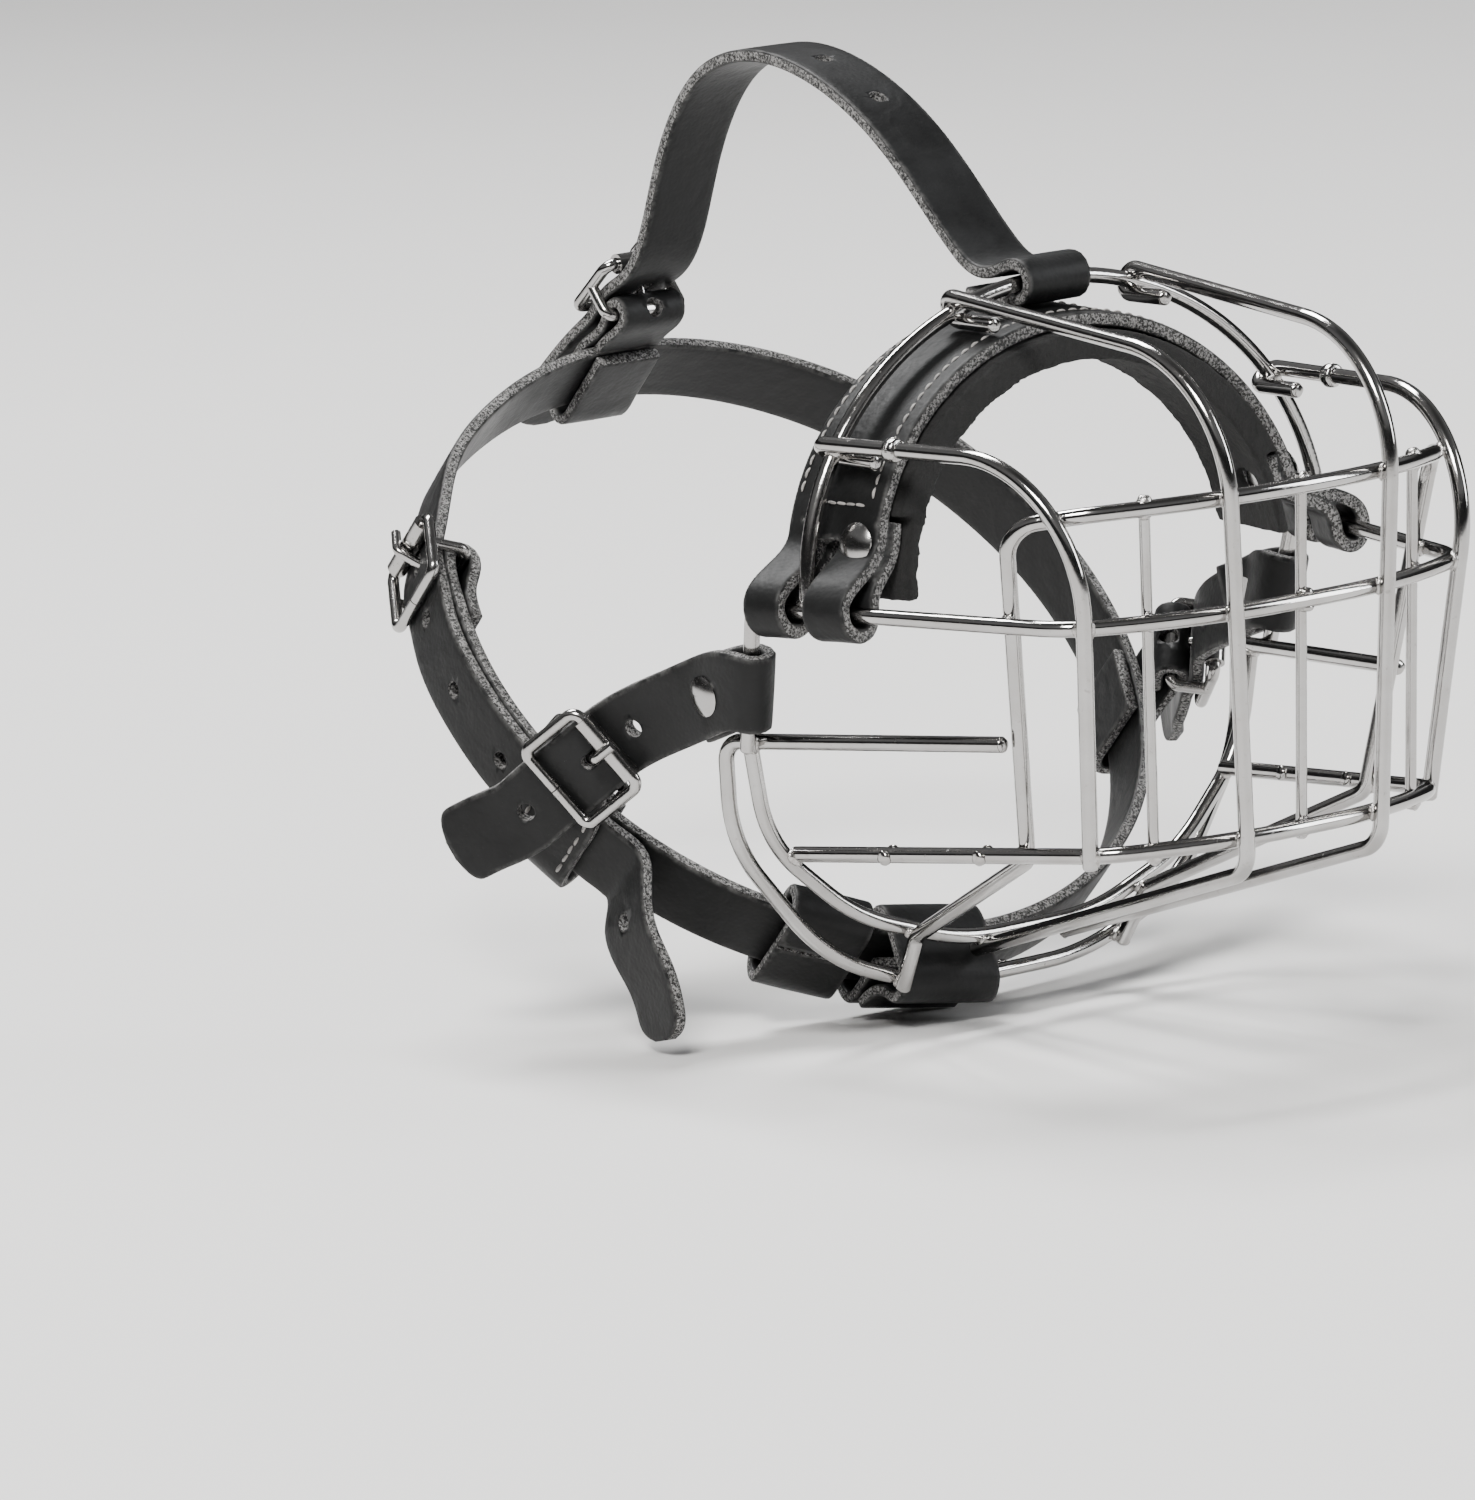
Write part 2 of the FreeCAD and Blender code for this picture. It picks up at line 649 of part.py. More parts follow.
# ---------------------------------------------------------------- cheek straps
CHEEK_TURN = 69.0
POST_TOP, POST_FOOT = Vector(-56.7, 7.5, -5.0), Vector(-55.4, 11.6, -21.5)
CHEEK_SEAT = seat(Vector(-65.0, 42.0, -27.8), Vector(0.34, -0.73, 0.59), Vector(-0.83, -0.53, -0.20))
LEFT_CHEEK_SEAT = seat(Vector(65.0, 42.0, -27.8), Vector(-0.34, -0.73, 0.59), Vector(0.83, -0.53, -0.20))
FLEX_GAP = 1.6


def cheek_path():
    """Stations of the right cheek strap, from its inner end round the post to its free end."""
    post = unit(POST_TOP - POST_FOOT)
    centre = (POST_TOP + POST_FOOT) * 0.5
    loop = WIRE / 2 + 2 * GAP + STRAP / 2
    down = post * -1
    buckle_across = CHEEK_SEAT.Rotation.multVec(Vector(0, 1, 0))
    if buckle_across.dot(down) < 0:
        buckle_across = buckle_across * -1
    middle_across = unit(down + buckle_across * 0.5)
    inner = [(Vector(-56.1, 22.8, -17.2), down), (Vector(-55.9, 18.0, -15.4), down)]
    fold = [(point, down) for point in fold_round(centre, post, loop, Vector(1, -0.1, 0), -170, 5)]
    outer = [(Vector(-58.75, 18.0, -15.2), down), (Vector(-59.2, 25.0, -17.9), middle_across),
             (Vector(-60.8, 33.4, -21.4), unit(down + buckle_across))]
    through = [(point, buckle_across) for point in threaded(CHEEK_SEAT)]
    return inner + fold + outer + through, buckle_across


def build_cheek_straps():
    stations, across = cheek_path()
    flex_start = CHEEK_SEAT.multVec(Vector(-10.0, 0, 0.3))
    strap = band_solid(stations + [(flex_start, across)], WIDE, STRAP, step=2.5)
    strap = tongue_slot(strap, CHEEK_SEAT)
    normal = CHEEK_SEAT.Rotation.multVec(Vector(0, 0, 1))
    strap = punch(strap, Vector(-60.8, 33.4, -21.4), Vector(-0.95, -0.25, -0.2))
    rivet_at, rivet_axis = Vector(-58.8, 16.8, -14.8), Vector(-0.985, 0.02, -0.07)
    shank = Part.makeCylinder(dim("rivet_shank") / 2 + 0.02, 12, rivet_at - rivet_axis * 8, rivet_axis)
    strap = strap.cut(shank)
    keep("cheek_strap_right", feature("cheek_strap_right", strap))
    keep("cheek_strap_left", mirror_of("cheek_strap_left", PIECES["cheek_strap_right"]))

    tip_across = unit(across + Vector(0, -0.25, -0.3))
    tail = [
        (CHEEK_SEAT.multVec(Vector(-10.0 - FLEX_GAP, 0, 0.3)), across),
        (CHEEK_SEAT.multVec(Vector(-16.0, 0, 0.5)), across),
        (Vector(-73.0, 57.0, -39.2), tip_across),
        (Vector(-76.4, 63.6, -42.8), tip_across),
    ]
    end = band_solid(tail, WIDE, STRAP, step=3.0)
    end = punch(end, CHEEK_SEAT.multVec(Vector(-13.4, 0, 0.4)), normal)
    keep("cheek_strap_end_right", feature("cheek_strap_end_right", end))
    keep("cheek_strap_end_left", mirror_of("cheek_strap_end_left", PIECES["cheek_strap_end_right"]))

    rivet = place(rivet_body("cheek_rivet_right", 2 * STRAP + 0.95), rivet_at + rivet_axis * (STRAP / 2 + 0.05),
                  rivet_axis)
    keep("cheek_rivet_left", mirror_of("cheek_rivet_left", rivet))
    keep("cheek_rivet_right", rivet)
    buckle("cheek_buckle_right", CHEEK_SEAT)
    buckle("cheek_buckle_left", LEFT_CHEEK_SEAT)
    strap_tab("cheek_tab_right", CHEEK_SEAT, CHEEK_TURN, NECK_OUTER)
    strap_tab("cheek_tab_left", LEFT_CHEEK_SEAT, -CHEEK_TURN, NECK_INNER)


# ---------------------------------------------------------------- neck strap
BUCKLE_TURN = 115.5
NECK_HOLES = (107.2, 94.2, 81.2)
NECK_FLEX = 61.5


def neck_seat():
    origin = neck_point(BUCKLE_TURN, NECK_INNER + STRAP + 0.05 - OVER_BAR)
    outward = neck_point(BUCKLE_TURN, 10.0) - neck_point(BUCKLE_TURN, 0.0)
    return seat(origin, neck_tangent(BUCKLE_TURN) * -1, outward)


def build_neck_strap():
    """One long strap: folded round its buckle's bar, once round the neck and back through the buckle."""
    frame = neck_seat()
    bar_radius = NECK_INNER - STRAP / 2 - 0.1 - dim("buckle_wire") / 2
    loop = dim("buckle_wire") / 2 + 0.1 + STRAP / 2
    path = [neck_point(BUCKLE_TURN - 12.0, NECK_INNER - STRAP - 0.2),
            neck_point(BUCKLE_TURN - 6.0, NECK_INNER - STRAP - 0.7)]
    bar = frame.multVec(Vector(0, 0, -BAR_DROP))
    spin_axis = frame.Rotation.multVec(Vector(0, 1, 0))
    path += fold_round(bar, spin_axis, loop, frame.Rotation.multVec(Vector(0, 0, -1)), -180, 6)
    lap_start, lap_end, lap_step = BUCKLE_TURN - 8.0, BUCKLE_TURN - 360.0 + 50.0, 10.0
    steps = round((lap_start - lap_end) / lap_step)
    for i in range(steps + 1):
        path.append(neck_point(lap_start + (lap_end - lap_start) * i / steps, NECK_INNER))
    path.append(neck_point(BUCKLE_TURN + 35.0, NECK_INNER + 0.35))
    path.append(neck_point(BUCKLE_TURN + 20.0, NECK_INNER + 1.15))
    path += threaded(frame)
    for turn in (BUCKLE_TURN - 12.0, BUCKLE_TURN - 24.0, BUCKLE_TURN - 36.0, BUCKLE_TURN - 48.0):
        path.append(neck_point(turn, NECK_OUTER))
    path.append(neck_point(NECK_FLEX + 0.85, NECK_OUTER))
    strap = band_solid([(point, NECK_AXIS) for point in path], WIDE, STRAP, step=4.5)
    strap = tongue_slot(tongue_notch(strap, frame), frame)
    for turn in NECK_HOLES:
        middle = neck_point(turn, NECK_OUTER)
        strap = punch_outer(strap, middle, neck_point(turn, NECK_OUTER + 10) - middle)
    strap = max(strap.Solids, key=lambda solid: solid.Volume)
    keep("neck_strap", feature("neck_strap", strap))
    buckle("neck_buckle", frame)


def punch_outer(solid, middle, normal):
    """A round hole through the outer layer only."""
    normal = unit(normal)
    radius = dim("strap_hole_diameter") / 2
    return solid.cut(Part.makeCylinder(radius, STRAP + 1.0, middle - normal * (STRAP / 2 + 0.08), normal))


def build_neck_strap_end():
    """The strap's free end, which hangs down from the right cheek tab."""
    start = neck_point(NECK_FLEX - 0.85, NECK_OUTER + 0.15)
    stations = [
        (start, NECK_AXIS),
        (neck_point(NECK_FLEX - 4.5, NECK_OUTER + 0.9), NECK_AXIS),
        (Vector(-58.5, 41.4, -54.6), Vector(0.02, 0.86, -0.5)),
        (Vector(-58.2, 36.4, -64.0), Vector(0.1, 0.9, -0.42)),
        (Vector(-58.2, 33.6, -73.4), Vector(0.15, 0.93, -0.34)),
    ]
    end = band_solid(stations, WIDE, STRAP, step=3.0)
    end = punch(end, Vector(-58.6, 41.4, -54.6), Vector(-1, -0.1, -0.1))
    keep("neck_strap_end", feature("neck_strap_end", end))


# ---------------------------------------------------------------- forehead strap
CROWN_TURN = 180.0
CROWN_SEAT = seat(neck_point(CROWN_TURN, NECK_INNER + 3.4, -16.4), Vector(0, -0.767, 0.65), Vector(0, 0.65, 0.767))


def build_forehead_strap():
    """Strap rolled round the top of the arch, which runs over the head to its own buckle at the nape."""
    across = Vector(1, 0, 0)
    arch_top = Vector(0, ARCH_FOOT_BACK + dim("arch_height") * math.sin(math.radians(ARCH_LEAN)),
                      dim("arch_height") * math.cos(math.radians(ARCH_LEAN)))
    loop = WIRE / 2 + 3 * GAP + STRAP / 2
    path = [Vector(0, 12.0, 43.4), Vector(0, 6.5, 43.1)]
    path += fold_round(arch_top, Vector(1, 0, 0), loop, Vector(0, 0, -1), -180, 6)
    path += [Vector(0, 5.5, 47.4), Vector(0, 10.0, 47.4), Vector(0, 15.5, 50.9), Vector(0, 22.5, 57.6),
             Vector(0, 30.5, 65.0), Vector(0, 40.5, 71.8), Vector(0, 53.0, 77.0), Vector(0, 67.0, 78.6),
             Vector(0, 79.0, 74.8), Vector(0, 87.4, 66.0), Vector(0, 93.0, 55.0)]
    path += threaded(CROWN_SEAT) + [CROWN_SEAT.multVec(Vector(-9.5, 0, 0.4))]
    strap = band_solid([(point, across) for point in path], WIDE, STRAP, step=4.0)
    strap = tongue_slot(strap, CROWN_SEAT)
    for y, z in ((54.0, 77.2), (40.5, 71.8)):
        strap = punch(strap, Vector(0, y, z), Vector(0, -0.45, 1))
    keep("forehead_strap", feature("forehead_strap", strap))

    tail = [(CROWN_SEAT.multVec(Vector(x, 0, z)), across)
            for x, z in ((-9.5 - FLEX_GAP, 0.5), (-16.0, 1.0), (-24.0, 1.2), (-38.0, 0.2))]
    end = band_solid(tail, WIDE, STRAP, step=4.0)
    end = punch(end, CROWN_SEAT.multVec(Vector(-14.0, 0, 0.9)), CROWN_SEAT.Rotation.multVec(Vector(0, 0, 1)))
    keep("forehead_strap_end", feature("forehead_strap_end", end))
    buckle("crown_buckle", CROWN_SEAT)
    strap_tab("crown_tab", CROWN_SEAT, CROWN_TURN, NECK_INNER)


# ---------------------------------------------------------------- chin tab
CHIN_TURN, FLAP_TURN = 11.4, 28.0
CHIN_TAB_WIDTH, FLAP_WIDTH = 18.4, 14.0


def chin_loop(turn, width, outline):
    across = neck_tangent(turn)
    stations = [(neck_point(turn, NECK_INNER + out, along), across) for along, out in outline]
    return band_solid(stations, width, TAB, step=2.5)


def build_chin_tab():
    """The tab is rolled round the rear chin wire and the neck strap; the keeper is round the strap alone."""
    slack = 1.1
    side = STRAP / 2 + slack + TAB / 2
    front = WIDE / 2 + 0.4
    wire_along, wire_out, loop = -4.5, 8.5, WIRE / 2 + 1.0 + TAB / 2
    main = [
        (-2.0, side), (5.0, side), (front + 1.4, side * 0.8), (front + 2.4, 0), (front + 1.4, -side * 0.8),
        (4.0, -side), (-5.0, -side), (-front - 1.4, -side * 0.8), (-front - 2.2, 1.0),
        (wire_along - loop - 0.3, wire_out - 1.6), (wire_along - loop * 0.75, wire_out + loop * 0.7),
        (wire_along + loop * 0.2, wire_out + loop), (wire_along + loop * 0.95, wire_out + 0.3),
        (1.2, 6.6), (6.0, side + TAB + 0.3),
    ]
    flap = [
        (-1.0, side), (5.0, side), (front + 1.4, side * 0.8), (front + 2.4, 0), (front + 1.4, -side * 0.8),
        (4.0, -side), (-5.0, -side), (-front - 1.4, -side * 0.8), (-front - 2.2, 0), (-front - 1.4, side * 0.8),
        (-5.0, side), (-1.6, side),
    ]
    keep("chin_tab", feature("chin_tab", chin_loop(CHIN_TURN, CHIN_TAB_WIDTH, main)))
    keep("chin_keeper", feature("chin_keeper", chin_loop(FLAP_TURN, FLAP_WIDTH, flap)))


# ---------------------------------------------------------------- nose band rivets
def build_nose_band_rivets():
    """One rivet a side, through both layers of the front tab."""
    height = 10.2
    back = FRONT_TAB + height * BAND_LEAN
    rivets, pockets = [], []
    for name, side in (("nose_band_rivet_right", -1), ("nose_band_rivet_left", 1)):
        middle = band_middle(height, 0, back) + side * BAND_SHIFT
        slope = unit(Vector(side * 0.955, -0.14, 0.26))
        surface = Vector(side * middle, back, height) + slope * (dim("band_thickness") / 2 + 0.15)
        rivets.append(place(rivet_body(name, 2 * dim("band_thickness") + 0.45), surface, slope))
        pockets.append(Part.makeCylinder(dim("rivet_shank") / 2 + 0.02, 14, surface - slope * 9, slope))
        pockets.append(Part.makeCylinder(dim("rivet_head") / 2, 3.2, surface - slope * 7.9, slope))
    pair = doc.addObject("Part::Compound", "nose_band_rivets")
    pair.Links = rivets
    doc.recompute()
    keep("nose_band_rivets", pair)
    for label, tools in (("nose_band", pockets[::2]), ("nose_band_lining", pockets)):
        PIECES[label].Shape = PIECES[label].Shape.cut(tools)


def save_pieces():
    """Checks every object and every piece, then writes one STEP file for each piece."""
    doc.recompute()
    for item in doc.Objects:
        bad = [state for state in item.State if state in ("Invalid", "Error")]
        if bad:
            raise RuntimeError(f"{item.Name} is {bad}")
    os.makedirs("parts", exist_ok=True)
    for old in os.listdir("parts"):
        os.remove(os.path.join("parts", old))
    for label, piece in PIECES.items():
        shape = piece.Shape
        if shape.isNull() or not shape.isValid() or not shape.Solids:
            raise RuntimeError(f"{label} has no valid solid")
        shape.exportStep(f"parts/{label}.step")
    print(len(PIECES), "pieces")


build_nose_arch()
build_middle_ring()
build_lower_ring()
build_portal()
build_chin_wires()
build_long_bars()
build_front_bars()
build_nose_band()
build_nose_lining()
build_nose_band_rivets()
build_cheek_straps()
build_neck_strap()
build_neck_strap_end()
build_forehead_strap()
build_chin_tab()
save_pieces()
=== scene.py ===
"""Wire basket muzzle: chromed wires, a felt-lined nose band and a buckled harness of black leather.

The CAD's frame is kept: +Z up, the muzzle points along -Y and the wearer's right is -X.
Lengths are written in millimetres and become metres when a mesh is made.
"""
import json
import math
import random

import bmesh
import bpy
import numpy as np
from mathutils import Matrix, Quaternion, Vector, noise
from mathutils.bvhtree import BVHTree
from mathutils.kdtree import KDTree


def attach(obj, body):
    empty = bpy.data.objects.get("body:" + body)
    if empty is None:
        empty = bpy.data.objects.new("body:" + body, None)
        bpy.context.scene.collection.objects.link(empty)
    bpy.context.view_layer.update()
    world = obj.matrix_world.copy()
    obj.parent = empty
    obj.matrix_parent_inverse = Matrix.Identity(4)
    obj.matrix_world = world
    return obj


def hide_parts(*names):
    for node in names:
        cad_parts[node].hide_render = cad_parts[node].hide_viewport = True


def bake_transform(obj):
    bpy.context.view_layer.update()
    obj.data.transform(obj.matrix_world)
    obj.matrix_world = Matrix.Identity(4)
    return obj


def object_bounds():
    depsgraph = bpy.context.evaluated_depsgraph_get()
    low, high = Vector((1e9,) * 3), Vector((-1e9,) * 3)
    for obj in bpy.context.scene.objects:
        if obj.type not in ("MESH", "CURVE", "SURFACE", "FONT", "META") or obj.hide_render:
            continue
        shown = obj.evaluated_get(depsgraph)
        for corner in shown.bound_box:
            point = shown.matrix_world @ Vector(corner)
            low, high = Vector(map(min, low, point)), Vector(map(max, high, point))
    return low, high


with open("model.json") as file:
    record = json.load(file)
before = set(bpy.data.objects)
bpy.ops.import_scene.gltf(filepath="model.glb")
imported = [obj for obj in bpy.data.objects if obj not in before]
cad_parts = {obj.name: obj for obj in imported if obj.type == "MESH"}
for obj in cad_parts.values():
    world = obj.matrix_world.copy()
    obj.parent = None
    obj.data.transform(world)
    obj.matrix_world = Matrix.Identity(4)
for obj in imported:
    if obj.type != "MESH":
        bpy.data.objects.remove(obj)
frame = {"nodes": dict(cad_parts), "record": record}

cad_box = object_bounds()
MM = 0.001
ROOT = "basket"
random.seed(7)

# ---------------------------------------------------------------- sizes of the leather, in mm
STRAP_WIDTH, STRAP, TAB, GAP = 13.0, 2.2, 2.0, 0.15
WIRE, THIN_WIRE = 2.6, 1.8
NECK_RADIUS, NECK_TILT = 63.4, math.radians(44.0)
NECK_CENTRE = Vector((0, 71.0, -22.6))
NECK_UP = Vector((0, math.cos(NECK_TILT), math.sin(NECK_TILT)))
NECK_AXIS = Vector((0, math.sin(NECK_TILT), -math.cos(NECK_TILT)))
NECK_OUTER = NECK_RADIUS + STRAP + GAP
BAR_DROP, HALF_LENGTH, BUCKLE_WIRE = 4.0, 6.0, 2.0
OVER_BAR, UNDER_ROLLER, UNDER_REAR = 0.55, -0.58, 0.08
SLOT_START, SLOT_STRETCH, SLOT_WIDTH, SLOT_DEPTH = 1.25, 1.9, 2.4, 5.2
HOLE = 3.0


# ---------------------------------------------------------------- node materials
class Shader:
    """A short way to write a node tree: add() makes a node and sets its inputs, of which _0 is the first."""

    def __init__(self, name):
        self.material = bpy.data.materials.new(name)
        self.material.use_nodes = True
        self.tree = self.material.node_tree
        self.surface = self.tree.nodes["Principled BSDF"]

    def add(self, kind, out=0, settings=None, **inputs):
        node = self.tree.nodes.new(kind)
        for key, value in (settings or {}).items():
            setattr(node, key, value)
        for key, value in inputs.items():
            socket = int(key[1:]) if key.startswith("_") else key.replace("_", " ")
            self.join(node.inputs[socket], value)
        return node.outputs[out]

    def join(self, socket, value):
        if isinstance(value, bpy.types.NodeSocket):
            self.tree.links.new(value, socket)
        else:
            socket.default_value = value

    def place(self):
        return self.add("ShaderNodeTexCoord", out=3)

    def attribute(self, name):
        return self.add("ShaderNodeAttribute", out=2, settings={"attribute_name": name})

    def noise(self, scale, detail=4.0, roughness=0.6, vector=None):
        return self.add("ShaderNodeTexNoise", Vector=vector or self.place(), Scale=scale, Detail=detail,
                        Roughness=roughness)

    def waves(self, scale, **inputs):
        """Slanting bands."""
        return self.add("ShaderNodeTexWave", settings={"bands_direction": "DIAGONAL"}, Vector=self.place(),
                        Scale=scale, **inputs)

    def math(self, operation, first, second=0.0):
        return self.add("ShaderNodeMath", settings={"operation": operation}, _0=first, _1=second)

    def ramp(self, value, low, high, to_low=0.0, to_high=1.0):
        return self.add("ShaderNodeMapRange", _0=value, _1=low, _2=high, _3=to_low, _4=to_high)

    def mix(self, share, first, second):
        node = self.tree.nodes.new("ShaderNodeMix")
        node.data_type = "RGBA"
        self.join(node.inputs[0], share)
        self.join(node.inputs[6], first)
        self.join(node.inputs[7], second)
        return node.outputs[2]

    def bump(self, height, strength, distance, below=None):
        node = self.tree.nodes.new("ShaderNodeBump")
        self.join(node.inputs["Height"], height)
        node.inputs["Strength"].default_value = strength
        node.inputs["Distance"].default_value = distance
        if below:
            self.join(node.inputs["Normal"], below)
        return node.outputs[0]

    def set(self, **values):
        for key, value in values.items():
            self.join(self.surface.inputs[key.replace("_", " ")], value)
        return self.material


def grey(value, warm=0.0):
    return (value * (1 + warm), value, value * (1 - warm), 1.0)


def chrome_material(name, bright, rough, scratch):
    """Plated steel: cloudy polish, fine scratches and small dull spots."""
    s = Shader(name)
    cloud = s.noise(110.0, 3.0)
    spots = s.noise(900.0, 5.0, 0.7)
    stretched = s.add("ShaderNodeMapping", Vector=s.place(), Scale=(1.0, 0.12, 1.0))
    lines = s.noise(2600.0, 2.0, 0.5, stretched)
    dull = s.ramp(spots, 0.60, 0.72)
    colour = s.mix(s.ramp(cloud, 0.3, 0.7), grey(bright, 0.015), grey(bright * 0.84, 0.03))
    colour = s.mix(s.math("MULTIPLY", dull, 0.45), colour, grey(bright * 0.42, 0.08))
    polish = s.ramp(cloud, 0.3, 0.75, rough * 0.65, rough * 1.5)
    polish = s.math("ADD", polish, s.math("MULTIPLY", dull, 0.22))
    bump = s.bump(lines, scratch, 0.00004)
    bump = s.bump(spots, 0.12, 0.00008, bump)
    return s.set(Base_Color=colour, Metallic=1.0, Roughness=polish, Normal=bump)


def weld_material():
    """The lumpy metal of the welds, duller than the wire."""
    s = Shader("weld_metal")
    lumps = s.noise(1500.0, 6.0, 0.7)
    colour = s.mix(s.ramp(lumps, 0.35, 0.65), grey(0.52, 0.02), grey(0.34, 0.05))
    bump = s.bump(lumps, 0.35, 0.0003)
    return s.set(Base_Color=colour, Metallic=1.0, Roughness=s.ramp(lumps, 0.3, 0.7, 0.16, 0.34), Normal=bump)


def leather_material():
    """Smooth black leather: fine grain, soft creases, and wear that is lighter near the cut edges."""
    s = Shader("black_leather_grain")
    grain = s.add("ShaderNodeTexVoronoi", settings={"feature": "SMOOTH_F1"}, Vector=s.place(), Scale=1500.0)
    pores = s.noise(4200.0, 3.0, 0.7)
    cloud = s.noise(70.0, 5.0, 0.65)
    creases = s.waves(38.0, Distortion=16.0, Detail=4.0, Detail_Scale=2.2)
    rim = s.attribute("rim")
    worn = s.math("MULTIPLY", s.ramp(rim, 0.9, 0.15), s.ramp(s.noise(420.0, 5.0, 0.7), 0.40, 0.62))
    dust = s.ramp(s.noise(2300.0, 4.0, 0.75), 0.66, 0.78)
    colour = s.mix(s.ramp(cloud, 0.30, 0.72), grey(0.0045, -0.02), grey(0.011, -0.03))
    colour = s.mix(s.math("MULTIPLY", worn, 0.55), colour, grey(0.115, 0.02))
    colour = s.mix(s.math("MULTIPLY", dust, 0.32), colour, grey(0.13, 0.03))
    polish = s.ramp(cloud, 0.30, 0.75, 0.40, 0.58)
    polish = s.math("ADD", polish, s.math("MULTIPLY", worn, 0.14))
    groove = s.add("ShaderNodeMath", settings={"operation": "COMPARE"}, _0=rim, _1=1.55, _2=0.22)
    bump = s.bump(grain, 0.16, 0.00022)
    bump = s.bump(pores, 0.10, 0.0001, bump)
    bump = s.bump(creases, 0.07, 0.0007, bump)
    bump = s.bump(groove, -0.18, 0.00018, bump)
    s.surface.inputs["Specular IOR Level"].default_value = 0.2
    return s.set(Base_Color=colour, Roughness=polish, Normal=bump)


def raw_edge_material():
    """The cut edge of the leather: grey fibres, speckled light and dark, in thin layers."""
    s = Shader("black_leather_cut_edge")
    speckle = s.noise(2200.0, 5.0, 0.8)
    clumps = s.noise(420.0, 4.0, 0.6)
    pale = s.math("MULTIPLY", s.ramp(speckle, 0.47, 0.56), s.ramp(clumps, 0.30, 0.60, 0.55, 1.0))
    colour = s.mix(pale, grey(0.014), grey(0.29, 0.02))
    bump = s.bump(speckle, 0.55, 0.0004)
    return s.set(Base_Color=colour, Roughness=0.93, Normal=bump)


def felt_material():
    """Dense dark felt with a fuzzy, matted surface."""
    s = Shader("felt_fuzz")
    fuzz = s.noise(2800.0, 8.0, 0.8)
    mats = s.noise(260.0, 5.0, 0.7)
    colour = s.mix(s.ramp(fuzz, 0.35, 0.68), grey(0.002), grey(0.010, 0.02))
    colour = s.mix(s.ramp(mats, 0.55, 0.75, 0.0, 0.4), colour, grey(0.016, 0.03))
    bump = s.bump(fuzz, 0.85, 0.0006)
    bump = s.bump(mats, 0.4, 0.001, bump)
    s.surface.inputs["Sheen Weight"].default_value = 0.03
    s.surface.inputs["Sheen Roughness"].default_value = 0.6
    return s.set(Base_Color=colour, Roughness=0.98, Normal=bump)


def thread_material():
    """Waxed thread, twisted, a dusty grey."""
    s = Shader("thread_twist")
    twist = s.waves(900.0, Distortion=1.5, Detail=2.0)
    colour = s.mix(s.ramp(s.noise(700.0, 4.0), 0.35, 0.65), grey(0.20, 0.03), grey(0.36, 0.05))
    return s.set(Base_Color=colour, Roughness=0.75, Normal=s.bump(twist, 0.5, 0.0001))


def floor_material():
    s = Shader("pale_floor")
    cloud = s.noise(3.0, 4.0)
    return s.set(Base_Color=s.mix(cloud, grey(0.74, 0.01), grey(0.80, 0.01)), Roughness=0.62,
                 Normal=s.bump(s.noise(240.0, 4.0), 0.03, 0.0005))


CHROME = chrome_material("basket_chrome_polish", 0.44, 0.11, 0.10)
NICKEL = chrome_material("buckle_nickel_polish", 0.42, 0.18, 0.16)
RIVET = chrome_material("rivet_nickel_polish", 0.40, 0.22, 0.10)
WELD = weld_material()
LEATHER = leather_material()
RAW = raw_edge_material()
FELT = felt_material()
THREAD = thread_material()
METAL_BY_SLOT = {"basket_chrome": CHROME, "buckle_nickel": NICKEL, "rivet_steel": RIVET}


# ---------------------------------------------------------------- making pieces
def piece_from(name, points, faces, materials, face_slots=None, smooth=True):
    """A mesh object from points in mm."""
    mesh = bpy.data.meshes.new(name)
    mesh.from_pydata([tuple(c * MM for c in point) for point in points], [], faces)
    for material in materials:
        mesh.materials.append(material)
    if face_slots is not None:
        mesh.polygons.foreach_set("material_index", face_slots)
    mesh.polygons.foreach_set("use_smooth", [smooth] * len(faces))
    mesh.update()
    piece = bpy.data.objects.new(name, mesh)
    bpy.context.scene.collection.objects.link(piece)
    return piece


def settle(piece):
    """Applies a piece's modifiers to its mesh."""
    bpy.context.view_layer.update()
    graph = bpy.context.evaluated_depsgraph_get()
    mesh = bpy.data.meshes.new_from_object(piece.evaluated_get(graph))
    piece.modifiers.clear()
    piece.data = mesh
    return piece


def give(piece, slot, *nodes):
    """Rides a piece on the basket and hides the CAD nodes that it stands for; its slot is not used."""
    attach(piece, ROOT)
    return dress(piece, slot, *nodes)


def dress(piece, slot, *nodes):
    if nodes:
        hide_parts(*nodes)
    return piece


